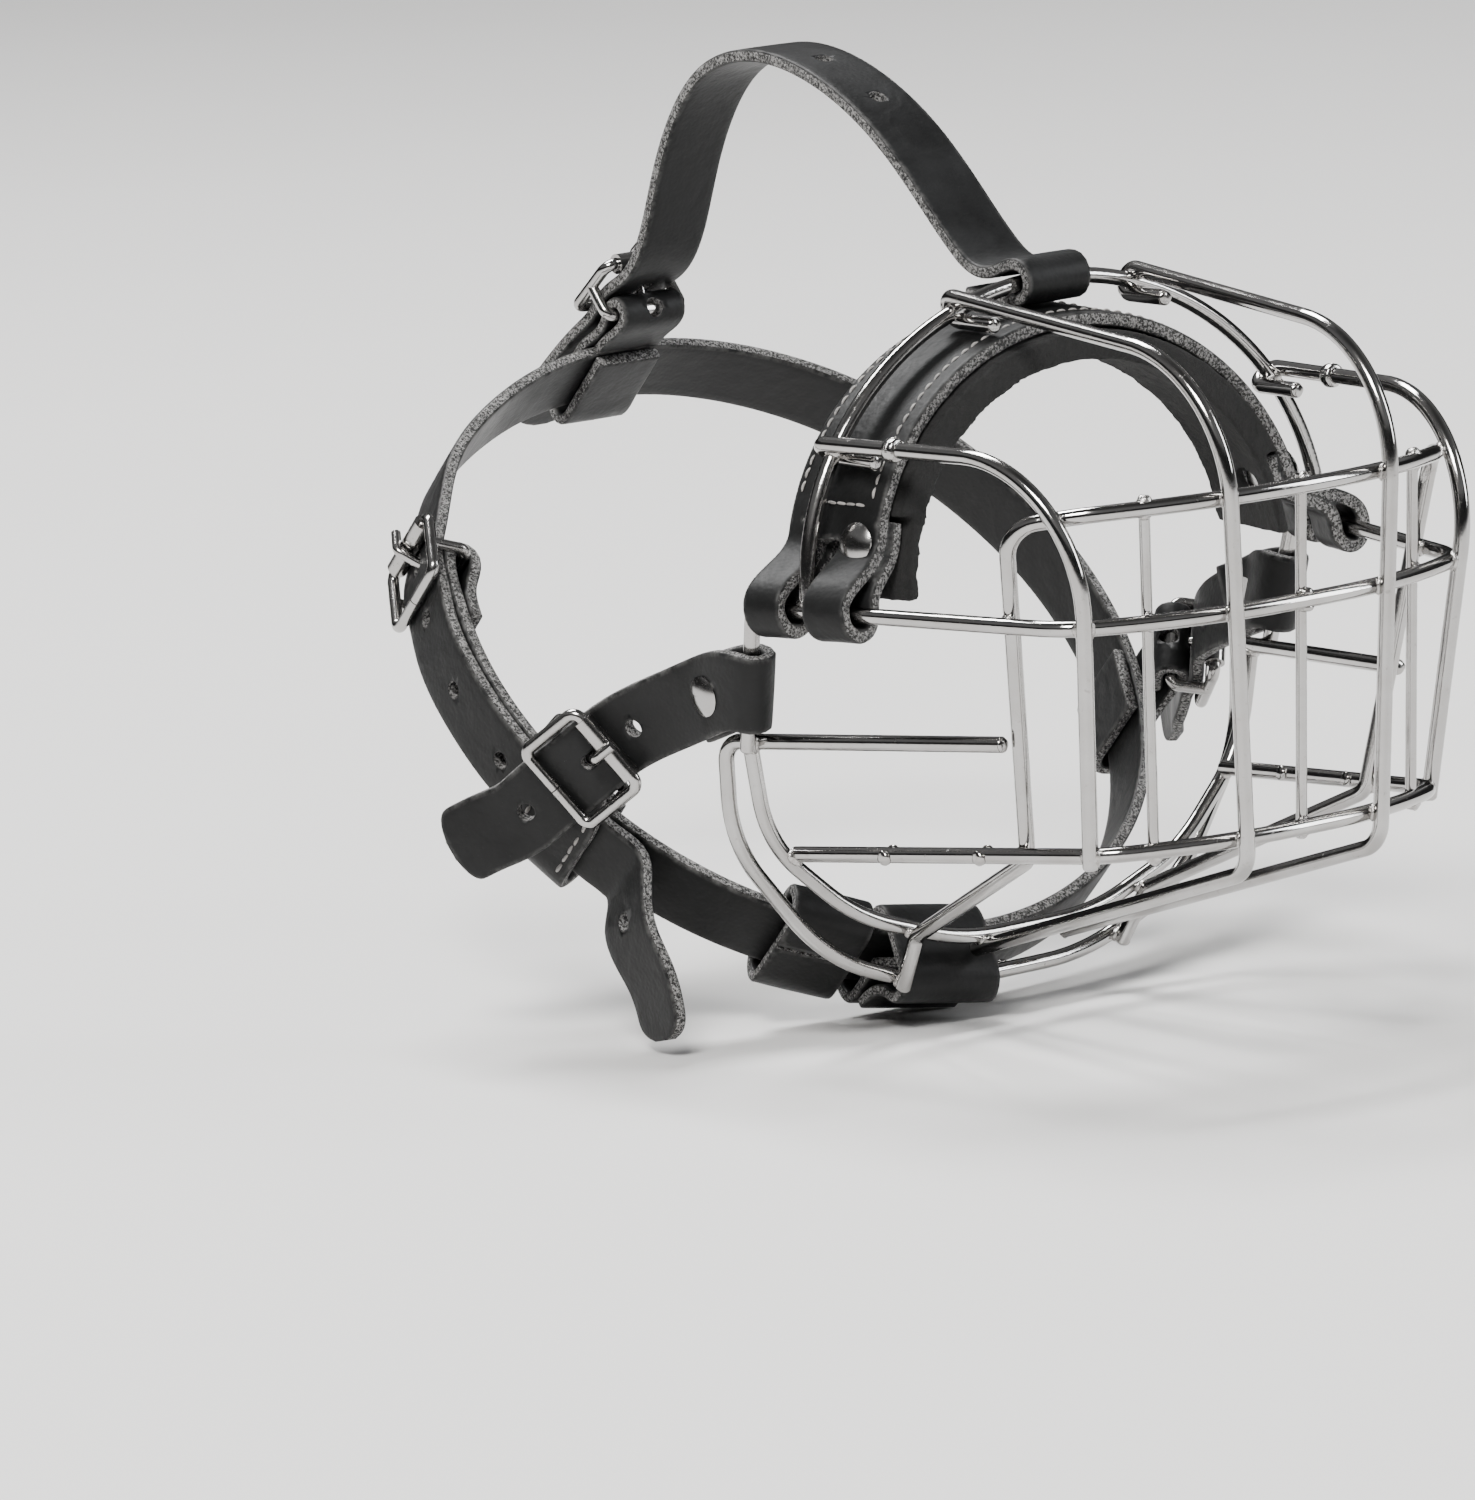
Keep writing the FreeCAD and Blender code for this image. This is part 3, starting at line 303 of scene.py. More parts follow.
class Line:
    """A smooth line through stations, each (point, width direction), all in mm."""

    def __init__(self, stations):
        self.points = np.array([tuple(point) for point, _ in stations], float)
        self.widths = np.array([tuple(across) for _, across in stations], float)
        gaps = np.linalg.norm(np.diff(self.points, axis=0), axis=1)
        self.knots = np.concatenate([[0.0], np.cumsum(gaps)])
        self.length = float(self.knots[-1])
        self.bend = self._second_derivatives(gaps)

    def _second_derivatives(self, gaps):
        count = len(self.points)
        system = np.zeros((count, count))
        right = np.zeros((count, 3))
        system[0, 0] = system[-1, -1] = 1.0
        slopes = np.diff(self.points, axis=0) / gaps[:, None]
        for i in range(1, count - 1):
            system[i, i - 1] = gaps[i - 1] / 6
            system[i, i] = (gaps[i - 1] + gaps[i]) / 3
            system[i, i + 1] = gaps[i] / 6
            right[i] = slopes[i] - slopes[i - 1]
        return np.linalg.solve(system, right)

    def at(self, place):
        """Point, direction, width direction and normal at a distance along the stations."""
        i = int(np.clip(np.searchsorted(self.knots, place) - 1, 0, len(self.points) - 2))
        gap = self.knots[i + 1] - self.knots[i]
        b = (place - self.knots[i]) / gap
        a = 1 - b
        low, high = self.bend[i], self.bend[i + 1]
        point = a * self.points[i] + b * self.points[i + 1]
        point = point + ((a ** 3 - a) * low + (b ** 3 - b) * high) * gap * gap / 6
        slope = (self.points[i + 1] - self.points[i]) / gap
        slope = slope + ((3 * b * b - 1) * high - (3 * a * a - 1) * low) * gap / 6
        along = Vector(slope).normalized()
        across = Vector(a * self.widths[i] + b * self.widths[i + 1])
        normal = along.cross(across).normalized()
        return Vector(point), along, normal.cross(along).normalized(), normal

    def surface(self, place, side_way, lift):
        """A point beside the line and above it, with the normal there."""
        point, along, across, normal = self.at(place)
        return point + across * side_way + normal * lift, along, normal * (1 if lift > 0 else -1)


def section(width, thickness):
    """A strap's outline: crowned faces, rounded corners and flat cut sides, as (across, up, is side)."""
    corner, crown, columns = min(0.5, thickness * 0.24), 0.06, 9
    half, high = width / 2, thickness / 2
    outline = []
    for turn in (1, -1):
        for i in range(columns):
            across = (half - corner) * (1 - 2 * i / (columns - 1)) * -turn
            outline.append((across, turn * (high - crown * (across / half) ** 2), False))
        for i in range(1, 4):
            angle = math.pi / 2 * i / 4
            outline.append((turn * (half - corner + corner * math.sin(angle)),
                            turn * (high - crown - corner + corner * math.cos(angle)), i == 3))
        outline.append((turn * half, turn * (high - crown - corner) * 0.5, True))
        outline.append((turn * half, -turn * (high - crown - corner) * 0.5, True))
        for i in range(3, 0, -1):
            angle = math.pi / 2 * i / 4
            outline.append((turn * (half - corner + corner * math.sin(angle)),
                            -turn * (high - crown - corner + corner * math.cos(angle)), i == 3))
    return outline


def strap(name, stations, width, thickness, step=1.1, tip=0.0, ends=(True, True)):
    """A leather band along stations; tip rounds its far end over that many mm."""
    line = Line(stations)
    outline = section(width, thickness)
    places = list(np.linspace(0, line.length, max(3, round(line.length / step))))
    if tip:
        places = [place for place in places if place < line.length - tip]
        places += [line.length - tip * (1 - math.sin(math.pi / 2 * i / 9)) for i in range(10)]
    points, rim = [], []
    for place in places:
        middle, _, across, normal = line.at(place)
        share = 1.0
        if tip and place > line.length - tip:
            gone = (place - line.length + tip) / tip
            share = max(0.28, (1 - gone ** 2.6) ** 0.5)
        sway = 0.10 * noise.noise(Vector((place * 0.045, len(name), 0)))
        from_end = min(place if ends[0] else 99, line.length - place if ends[1] else 99)
        for beside, up, _ in outline:
            points.append(middle + across * (beside * share + sway) + normal * up)
            rim.append(min((width / 2 - abs(beside)) * share, from_end))
    count = len(outline)
    faces, slots = [], []
    for i in range(len(places) - 1):
        for j in range(count):
            k = (j + 1) % count
            faces.append((i * count + j, i * count + k, (i + 1) * count + k, (i + 1) * count + j))
            slots.append(1 if outline[j][2] and outline[k][2] else 0)
    for start, turn in ((0, 1), ((len(places) - 1) * count, -1)):
        faces.append(tuple(range(start, start + count))[::-turn])
        slots.append(1)
    piece = piece_from(name, points, faces, [LEATHER, RAW], slots)
    attribute = piece.data.attributes.new("rim", "FLOAT", "POINT")
    attribute.data.foreach_set("value", rim)
    outward(piece)
    return piece, line


def outward(piece):
    """Turns every face outward."""
    mesh = bmesh.new()
    mesh.from_mesh(piece.data)
    bmesh.ops.recalc_face_normals(mesh, faces=mesh.faces)
    mesh.to_mesh(piece.data)
    mesh.free()


def cutter(holes):
    """One mesh of all the round or long holes: each (middle, normal, long way, stretch, diameter, depth)."""
    sides, points, faces = 28, [], []
    for middle, normal, way, stretch, diameter, depth in holes:
        normal = normal.normalized()
        way = (way - normal * way.dot(normal)).normalized() if way else normal.orthogonal().normalized()
        side = normal.cross(way)
        first = len(points)
        for level in (-depth, depth):
            for i in range(sides):
                angle = 2 * math.pi * i / sides
                shift = stretch if math.cos(angle) > 0 else 0.0
                points.append(middle + normal * level + way * (shift + math.cos(angle) * diameter / 2)
                              + side * math.sin(angle) * diameter / 2)
        for i in range(sides):
            k = (i + 1) % sides
            faces.append((first + i, first + k, first + sides + k, first + sides + i))
        faces.append(tuple(range(first, first + sides))[::-1])
        faces.append(tuple(range(first + sides, first + 2 * sides)))
    tool = piece_from("hole_cutter", points, faces, [LEATHER, RAW], [1] * len(faces), smooth=False)
    outward(tool)
    return tool


def punch(piece, holes):
    """Cuts holes through a strap, with raw leather on their walls."""
    tool = cutter(holes)
    cut = piece.modifiers.new("holes", "BOOLEAN")
    cut.operation, cut.solver, cut.object = "DIFFERENCE", "EXACT", tool
    cut.material_mode = "INDEX"
    settle(piece)
    bpy.data.objects.remove(tool)
    return piece


def round_hole(middle, normal, depth=3.4, diameter=HOLE):
    return (middle, normal, None, 0.0, diameter, depth)


def mirrored(piece, name):
    """The same piece on the wearer's left."""
    other = piece.copy()
    other.data = piece.data.copy()
    other.name = other.data.name = name
    bpy.context.scene.collection.objects.link(other)
    other.data.transform(Matrix.Scale(-1, 4, (1, 0, 0)))
    other.data.flip_normals()
    return other


# ---------------------------------------------------------------- stitches
def stitch_mesh(name, stitches, length=2.0, thick=0.62):
    """Many short sunken threads: each (point, along, normal)."""
    rings, sides = 5, 8
    points, faces = [], []
    for point, along, normal in stitches:
        along = (along - normal * along.dot(normal)).normalized()
        along = (along + normal.cross(along) * random.uniform(-0.10, 0.10)).normalized()
        beside = normal.cross(along)
        first = len(points)
        size = thick * random.uniform(0.92, 1.08) / 2
        for i in range(rings + 1):
            t = -1 + 2 * i / rings
            round_off = max(0.18, (1 - abs(t) ** 2.6)) ** 0.5
            dip = 0.22 * t * t
            for j in range(sides):
                angle = 2 * math.pi * j / sides
                sideways = math.cos(angle) * size * round_off
                lift = 0.12 - dip + math.sin(angle) * size * 0.8 * round_off
                points.append(point + along * (t * length / 2) + beside * sideways + normal * lift)
        for i in range(rings):
            for j in range(sides):
                k = (j + 1) % sides
                a, b = first + i * sides, first + (i + 1) * sides
                faces.append((a + j, a + k, b + k, b + j))
        faces.append(tuple(range(first, first + sides))[::-1])
        faces.append(tuple(range(first + rings * sides, first + (rings + 1) * sides)))
    piece = piece_from(name, points, faces, [THREAD])
    outward(piece)
    return piece


def row_along(line, first, last, beside, lift, pitch=2.7):
    count = max(1, round((last - first) / pitch))
    return [line.surface(first + (last - first) * (i + 0.5) / count, beside, lift) for i in range(count)]


def row_across(line, place, half, lift, pitch=2.5):
    """A row of stitches across a strap."""
    count = max(1, round(2 * half / pitch))
    row = []
    for i in range(count):
        point, _, normal = line.surface(place, -half + 2 * half * (i + 0.5) / count, lift)
        row.append((point, line.at(place)[2], normal))
    return row


# ---------------------------------------------------------------- places shared by the straps
def neck_point(turn, radius, along=0.0):
    """A point of the neck circle, turn degrees from the throat towards the wearer's right."""
    angle = math.radians(turn)
    sideways = Vector((-radius * math.sin(angle), 0, 0))
    return NECK_CENTRE + sideways - NECK_UP * (radius * math.cos(angle)) + NECK_AXIS * along


def neck_tangent(turn):
    return (neck_point(turn - 0.5, 100.0) - neck_point(turn + 0.5, 100.0)).normalized()


class Seat:
    """A buckle's own frame: x towards its roller, y across the strap, z outward."""

    def __init__(self, origin, towards_roller, outward_way):
        self.origin = Vector(origin)
        self.x = Vector(towards_roller).normalized()
        self.y = Vector(outward_way).cross(self.x).normalized()
        self.z = self.x.cross(self.y)

    def point(self, x, y, z):
        return self.origin + self.x * x + self.y * y + self.z * z

    def threaded(self):
        heights = ((HALF_LENGTH, UNDER_ROLLER), (0, OVER_BAR), (-HALF_LENGTH, UNDER_REAR))
        return [self.point(x, 0, z) for x, z in heights]

    def tongue_slot(self):
        """The long hole that the tongue lies in, for cutter()."""
        return (self.point(SLOT_START, 0, OVER_BAR), self.z, self.x, SLOT_STRETCH, SLOT_WIDTH, SLOT_DEPTH)


def fold_round(centre, axis, radius, start, turn, steps=6):
    """Points on an arc about an axis, from the start direction through turn degrees."""
    start = start.normalized()
    turns = [math.radians(turn * i / steps) for i in range(steps + 1)]
    return [centre + Quaternion(axis, angle) @ start * radius for angle in turns]


BUCKLE_TURN, CHEEK_TURN, CROWN_TURN, NECK_FLEX = 115.5, 69.0, 180.0, 61.5
CHEEK_SEAT = Seat((-65.0, 42.0, -27.8), (0.34, -0.73, 0.59), (-0.83, -0.53, -0.20))
CROWN_SEAT = Seat(neck_point(CROWN_TURN, NECK_RADIUS + 3.4, -16.4), (0, -0.767, 0.65), (0, 0.65, 0.767))
NECK_SEAT = Seat(neck_point(BUCKLE_TURN, NECK_RADIUS + STRAP + 0.05 - OVER_BAR),
                 neck_tangent(BUCKLE_TURN) * -1,
                 neck_point(BUCKLE_TURN, 10.0) - neck_point(BUCKLE_TURN, 0.0))


def bend(piece, way):
    """Bakes a strap's placement into its mesh; way, along the strap towards the free end, is not used."""
    way = way.normalized()
    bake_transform(piece)


# ---------------------------------------------------------------- cheek straps
def build_cheek_straps():
    top, foot = Vector((-56.7, 7.5, -5.0)), Vector((-55.4, 11.6, -21.5))
    post = (top - foot).normalized()
    down = -post
    seat = CHEEK_SEAT
    across = seat.y if seat.y.dot(down) > 0 else -seat.y
    between = (down + across * 0.5).normalized()
    stations = [(Vector((-56.1, 22.8, -17.2)), down), (Vector((-55.9, 18.0, -15.4)), down)]
    loop = WIRE / 2 + 2 * GAP + STRAP / 2
    fold = fold_round((top + foot) / 2, post, loop, Vector((1, -0.1, 0)), -170, 5)
    stations += [(point, down) for point in fold]
    stations += [(Vector((-58.75, 18.0, -15.2)), down), (Vector((-59.2, 25.0, -17.9)), between),
                 (Vector((-60.8, 33.4, -21.4)), (down + across).normalized())]
    stations += [(point, across) for point in seat.threaded()]
    tip_way = (across + Vector((0, -0.25, -0.3))).normalized()
    stations += [(seat.point(-10.0, 0, 0.3), across), (seat.point(-16.0, 0, 0.5), across),
                 (Vector((-73.0, 57.0, -39.2)), tip_way), (Vector((-76.4, 63.6, -42.8)), tip_way)]
    piece, _ = strap("cheek_strap_leather_right", stations, STRAP_WIDTH, STRAP, tip=3.2)
    holes = [
        round_hole(Vector((-60.8, 33.4, -21.4)), Vector((-0.95, -0.25, -0.2))),
        round_hole(seat.point(-13.4, 0, 0.4), seat.z),
        seat.tongue_slot(),
    ]
    punch(piece, holes)
    left = mirrored(piece, "cheek_strap_leather_left")
    for side, strap_piece in (("right", piece), ("left", left)):
        way = -seat.x if side == "right" else Vector((seat.x.x, -seat.x.y, -seat.x.z))
        bend(strap_piece, way)
        dress(strap_piece, "black_leather", f"cheek_strap_{side}", f"cheek_strap_end_{side}")


# ---------------------------------------------------------------- neck strap
def build_neck_strap():
    """Folded round its buckle's bar, once round the neck, back through the buckle, down to the free end."""
    bar = NECK_SEAT.point(0, 0, -BAR_DROP)
    loop = BUCKLE_WIRE / 2 + 0.1 + STRAP / 2
    path = [neck_point(BUCKLE_TURN - 12.0, NECK_RADIUS - STRAP - 0.2),
            neck_point(BUCKLE_TURN - 6.0, NECK_RADIUS - STRAP - 0.7)]
    path += fold_round(bar, NECK_SEAT.y, loop, -NECK_SEAT.z, -180, 6)
    lap_start, lap_end = BUCKLE_TURN - 8.0, BUCKLE_TURN - 310.0
    steps = round((lap_start - lap_end) / 10.0)
    lap = [lap_start + (lap_end - lap_start) * i / steps for i in range(steps + 1)]
    path += [neck_point(turn, NECK_RADIUS) for turn in lap]
    path.append(neck_point(BUCKLE_TURN + 35.0, NECK_RADIUS + 0.35))
    path.append(neck_point(BUCKLE_TURN + 20.0, NECK_RADIUS + 1.15))
    path += NECK_SEAT.threaded()
    path += [neck_point(BUCKLE_TURN - turn, NECK_OUTER) for turn in (12.0, 24.0, 36.0)]
    hidden_end = CHEEK_TURN - 2.0
    path.append(neck_point(hidden_end, NECK_OUTER))
    piece, _ = strap("neck_strap_leather", [(point, NECK_AXIS) for point in path], STRAP_WIDTH, STRAP)
    holes = [NECK_SEAT.tongue_slot()]
    for turn in (107.2, 94.2, 81.2):
        middle = neck_point(turn, NECK_OUTER)
        normal = (neck_point(turn, NECK_OUTER + 10) - middle).normalized()
        holes.append(round_hole(middle + normal * 1.2, normal, depth=2.2))
    punch(piece, holes)
    give(piece, "black_leather", "neck_strap")

    tail = [(neck_point(turn, NECK_OUTER), NECK_AXIS) for turn in (hidden_end + 0.6, hidden_end - 2.0)]
    tail += [
        (neck_point(NECK_FLEX - 0.6, NECK_OUTER + 0.15), NECK_AXIS),
        (neck_point(NECK_FLEX - 4.5, NECK_OUTER + 0.9), NECK_AXIS),
        (Vector((-58.5, 41.4, -54.6)), Vector((0.02, 0.86, -0.5))),
        (Vector((-58.2, 36.4, -64.0)), Vector((0.1, 0.9, -0.42))),
        (Vector((-58.2, 33.6, -73.4)), Vector((0.15, 0.93, -0.34))),
    ]
    end, _ = strap("neck_strap_leather_end", tail, STRAP_WIDTH, STRAP, tip=4.4)
    punch(end, [round_hole(Vector((-58.6, 41.4, -54.6)), Vector((-1, -0.1, -0.1)))])
    bend(end, neck_tangent(NECK_FLEX))
    dress(end, "black_leather", "neck_strap_end")


# ---------------------------------------------------------------- forehead strap
def build_forehead_strap():
    """Rolled round the top of the arch, over the head and through the buckle at the nape."""
    across = Vector((1, 0, 0))
    lean, height = math.radians(3.8), 46.2
    arch_top = Vector((0, -3.4 + height * math.sin(lean), height * math.cos(lean)))
    loop = WIRE / 2 + 3 * GAP + STRAP / 2
    over = [(5.5, 47.4), (10.0, 47.4), (15.5, 50.9), (22.5, 57.6), (30.5, 65.0), (40.5, 71.8), (53.0, 77.0),
            (67.0, 78.6), (79.0, 74.8), (87.4, 66.0), (93.0, 55.0)]
    path = [Vector((0, 12.0, 43.4)), Vector((0, 6.5, 43.1))]
    path += fold_round(arch_top, across, loop, Vector((0, 0, -1)), -180, 6)
    path += [Vector((0, y, z)) for y, z in over]
    path += CROWN_SEAT.threaded()
    path += [CROWN_SEAT.point(x, 0, z) for x, z in ((-9.5, 0.4), (-16.0, 1.0), (-24.0, 1.2), (-38.0, 0.2))]
    stations = [(point, across) for point in path]
    piece, _ = strap("forehead_strap_leather", stations, STRAP_WIDTH, STRAP, tip=4.4)
    holes = [round_hole(Vector((0, y, z)), Vector((0, -0.45, 1))) for y, z in ((54.0, 77.2), (40.5, 71.8))]
    holes += [round_hole(CROWN_SEAT.point(-14.0, 0, 0.9), CROWN_SEAT.z), CROWN_SEAT.tongue_slot()]
    punch(piece, holes)
    bend(piece, -CROWN_SEAT.x)
    dress(piece, "black_leather", "forehead_strap", "forehead_strap_end")


# ---------------------------------------------------------------- tabs
def tab_line(seat, turn, strap_radius):
    """Stations of a tab from under the buckle's bar to its loop round the neck strap."""
    across = seat.y
    band_way = neck_tangent(turn)
    if band_way.dot(across) < 0:
        band_way = -band_way
    loop = BUCKLE_WIRE / 2 + 0.1 + TAB / 2
    top = strap_radius + STRAP / 2 + GAP + TAB / 2
    under = NECK_RADIUS - STRAP / 2 - 0.5 - TAB / 2
    edge, half_height, middle = STRAP_WIDTH / 2 + 0.9, (top - under) / 2, (top + under) / 2
    stations = [(seat.point(x, 0, z), across) for x, z in (
        (-8.4, -BAR_DROP - 1.2), (-4.0, -BAR_DROP - 1.6), (0, -BAR_DROP - loop),
        (loop * 0.72, -BAR_DROP - loop * 0.72), (loop, -BAR_DROP), (loop * 0.72, -BAR_DROP + loop * 0.72),
        (0, -BAR_DROP + loop), (-4.0, -BAR_DROP + loop * 0.45))]
    for along in (-5.0, 0.0, 5.0, edge):
        stations.append((neck_point(turn, top, along), band_way))
    for reach, height in ((0.7, 0.72), (1.0, 0.0), (0.7, -0.72)):
        stations.append((neck_point(turn, middle + half_height * height, edge + 2.8 * reach), band_way))
    for along in (edge, 5.0, 0.0, -6.4):
        stations.append((neck_point(turn, under, along), band_way))
    return stations


def build_tab(name, node, seat, turn, strap_radius, mirror=False):
    stations = tab_line(seat, turn, strap_radius)
    piece, line = strap(name, stations, STRAP_WIDTH, TAB, step=0.8)
    eye = (seat.point(0.7, 0, -BAR_DROP - 1.0), seat.x, seat.z, 0.0, 3.2, 3.4)
    punch(piece, [eye])
    near_bar = line.knots[8] - 0.6
    past_strap = line.knots[11] - 0.6
    outer = 1 if line.at(near_bar)[3].dot(neck_point(turn, 80.0) - neck_point(turn, 60.0)) > 0 else -1
    lift = outer * TAB / 2
    stitches = row_across(line, near_bar, STRAP_WIDTH / 2 - 1.6, lift)
    for side in (1, -1):
        stitches += row_along(line, near_bar, past_strap, side * (STRAP_WIDTH / 2 - 1.7), lift)
    thread = stitch_mesh(name.replace("leather", "stitches"), stitches)
    if mirror:
        for made in (piece, thread):
            made.data.transform(Matrix.Scale(-1, 4, (1, 0, 0)))
            made.data.flip_normals()
    give(piece, "black_leather", node)
    give(thread, "black_leather")


def chin_band(name, node, turn, width, outline):
    across = neck_tangent(turn)
    stations = [(neck_point(turn, NECK_RADIUS + out, along), across) for along, out in outline]
    piece, _ = strap(name, stations, width, TAB, step=0.8)
    give(piece, "black_leather", node)


def build_chin_tab():
    """The tab round the rear chin wire and the neck strap, and the keeper round the strap alone."""
    slack = 1.1
    side = STRAP / 2 + slack + TAB / 2
    front = STRAP_WIDTH / 2 + 0.4
    wire_along, wire_out, loop = -4.5, 8.5, WIRE / 2 + 1.0 + TAB / 2
    shared = [(5.0, side), (front + 1.4, side * 0.8), (front + 2.4, 0), (front + 1.4, -side * 0.8),
              (4.0, -side), (-5.0, -side), (-front - 1.4, -side * 0.8)]
    main = [(-2.0, side)] + shared + [
        (-front - 2.2, 1.0), (wire_along - loop - 0.3, wire_out - 1.6),
        (wire_along - loop * 0.75, wire_out + loop * 0.7), (wire_along + loop * 0.2, wire_out + loop),
        (wire_along + loop * 0.95, wire_out + 0.3), (1.2, 6.6), (6.0, side + TAB + 0.3)]
    keeper = [(-1.0, side)] + shared + [
        (-front - 2.2, 0), (-front - 1.4, side * 0.8), (-5.0, side), (-1.6, side)]
    chin_band("chin_tab_leather", "chin_tab", 11.4, 18.4, main)
    chin_band("chin_keeper_leather", "chin_keeper", 28.0, 14.0, keeper)


# ---------------------------------------------------------------- nose band
BAND_SHIFT, BAND_LEAN, BAND_THICK, BAND_WIDTH = -3.0, math.tan(math.radians(6.8)), 2.5, 18.95
BAND_FRONT, BAND_REAR = (-13.8, 45.6, 41.4), (5.1, 48.9, 41.8)
TABS = ((-9.8, 8.0), (1.6, 7.0))
FIRST_STITCH, EDGE_STITCHES, END_STITCHES = 24, 44, 6


def band_edge(edge, degrees, inset):
    """A point of the band's front or rear edge, each given as distance back, half width and height."""
    back, half, high = edge
    angle = math.radians(degrees)
    height = (high - inset) * math.sin(angle)
    return Vector((BAND_SHIFT + (half - inset) * math.cos(angle), back + height * BAND_LEAN, height))


def band_side(height, inset, back):
    """How far the band's middle layer stands out at a height and distance back."""
    share = (back - BAND_FRONT[0]) / (BAND_REAR[0] - BAND_FRONT[0])
    inset += BAND_THICK / 2
    half, high = (BAND_FRONT[k] * (1 - share) + BAND_REAR[k] * share - inset for k in (1, 2))
    return half * math.sqrt(1 - (height / high) ** 2)


def tab_stations(back, side):
    """A lower end of the band, folded outside, under and back up inside the middle ring."""
    loop = WIRE / 2 + 2 * GAP + BAND_THICK / 2
    ring_x = 40.8 + (57.2 - 40.8) * (back + 51.0) / 57.6
    shift = side * BAND_SHIFT
    along, straight = Vector((0.284, 0.959, 0)), Vector((0.18, 1, 0))
    outline = [
        (band_side(13, 0, back) + shift, 13.0, straight),
        (band_side(10, 0, back) + shift, 10.0, straight),
        ((band_side(7, 0, back) + shift + ring_x + loop) / 2 - 0.3, 5.8, along),
        (ring_x + loop + 0.2, 1.0, along),
        (ring_x + loop * 0.72, -loop * 0.78, along),
        (ring_x - loop * 0.1, -loop * 1.1, along),
        (ring_x - loop * 0.85, -loop * 0.62, along),
        (ring_x - loop - 0.3, 1.6, along),
        (band_side(8, BAND_THICK + 0.1, back) + shift, 8.0, straight),
        (band_side(13, BAND_THICK + 0.1, back) + shift, 13.0, straight),
    ]
    return [(Vector((side * x, back + z * BAND_LEAN, z)), Vector((side * way.x, way.y, 0)))
            for x, z, way in outline]


def tree_of(mesh):
    return BVHTree.FromPolygons([v.co for v in mesh.vertices], [tuple(p.vertices) for p in mesh.polygons])


def join(pieces, name):
    """One mesh of several pieces, which go."""
    mesh = bmesh.new()
    for piece in pieces:
        mesh.from_mesh(piece.data)
        bpy.data.objects.remove(piece)
    data = bpy.data.meshes.new(name)
    mesh.to_mesh(data)
    mesh.free()
    joined = bpy.data.objects.new(name, data)
    bpy.context.scene.collection.objects.link(joined)
    return joined


def remesh(piece, voxel, smoothing, materials):
    """Makes one soft, rounded skin of a piece's solids."""
    piece.data.materials.clear()
    skin = piece.modifiers.new("remesh", "REMESH")
    skin.mode, skin.voxel_size, skin.use_smooth_shade = "VOXEL", voxel * MM, True
    smooth = piece.modifiers.new("smooth", "SMOOTH")
    smooth.factor, smooth.iterations = 0.5, smoothing
    settle(piece)
    for material in materials:
        piece.data.materials.append(material)
    return piece


def band_stations():
    """Stations over the nose, from one lower end of the band to the other."""
    stations = []
    for i in range(41):
        degrees = 15.0 + 150.0 * i / 40
        front, rear = (band_edge(edge, degrees, BAND_THICK / 2) for edge in (BAND_FRONT, BAND_REAR))
        stations.append(((front + rear) / 2, (rear - front).normalized()))
    return stations


def build_nose_band():
    shell, _ = strap("band_shell", band_stations(), BAND_WIDTH, BAND_THICK)
    parts = [shell]
    for side in (1, -1):
        for back, width in TABS:
            tab, _ = strap("band_tab", tab_stations(back, side), width, BAND_THICK, step=0.7)
            parts.append(tab)
    band = join(parts, "nose_band_leather")
    source = tree_of(band.data)
    raw_source = [polygon.material_index for polygon in band.data.polygons]
    remesh(band, 0.36, 4, [LEATHER, RAW])
    edge = []
    for face in band.data.polygons:
        face.material_index = raw_source[source.find_nearest(face.center)[2]]
        if face.material_index:
            edge.append(face.center.copy())
    near = KDTree(len(edge))
    for i, place in enumerate(edge):
        near.insert(place, i)
    near.balance()
    rim = [min(near.find(vertex.co)[2] / MM, 9.0) for vertex in band.data.vertices]
    band.data.attributes.new("rim", "FLOAT", "POINT").data.foreach_set("value", rim)
    give(band, "black_leather", "nose_band")
    give(stitch_mesh("nose_band_stitches", band_stitches(source), length=1.9, thick=0.5), "black_leather")


def band_stitches(tree):
    """A row inside each long edge of the band, and one across each end above its rivet."""
    rows = []
    for edge, inset in ((BAND_FRONT, 2.1), (BAND_REAR, -2.1)):
        for i in range(EDGE_STITCHES):
            degrees = FIRST_STITCH + (180 - 2 * FIRST_STITCH) * (i + 0.5) / EDGE_STITCHES
            outside = band_edge(edge, degrees, -6.0) + Vector((0, inset, 0))
            ahead = band_edge(edge, degrees + 1.0, -6.0) + Vector((0, inset, 0))
            aim = Vector((BAND_SHIFT, outside.y, 0)) - outside
            hit, normal, _, _ = tree.ray_cast(outside * MM, aim.normalized())
            if hit:
                rows.append((hit / MM, (ahead - outside).normalized(), normal))
    height = 16.2
    for side in (1, -1):
        for i in range(END_STITCHES):
            back = BAND_FRONT[0] + 3.6 + 11.6 * (i + 0.5) / END_STITCHES + height * BAND_LEAN
            hit, normal, _, _ = tree.ray_cast(Vector((side * 70, back, height)) * MM, Vector((-side, 0, 0)))
            if hit:
                rows.append((hit / MM, Vector((0, 1, 0)), normal))
    return rows


def solid_mesh(node):
    """A CAD node's mesh with its seams closed, and its search tree, in metres."""
    mesh = bmesh.new()
    mesh.from_mesh(frame["nodes"][node].data)
    bmesh.ops.remove_doubles(mesh, verts=mesh.verts, dist=1e-6)
    bmesh.ops.recalc_face_normals(mesh, faces=mesh.faces)
    return mesh, BVHTree.FromBMesh(mesh)


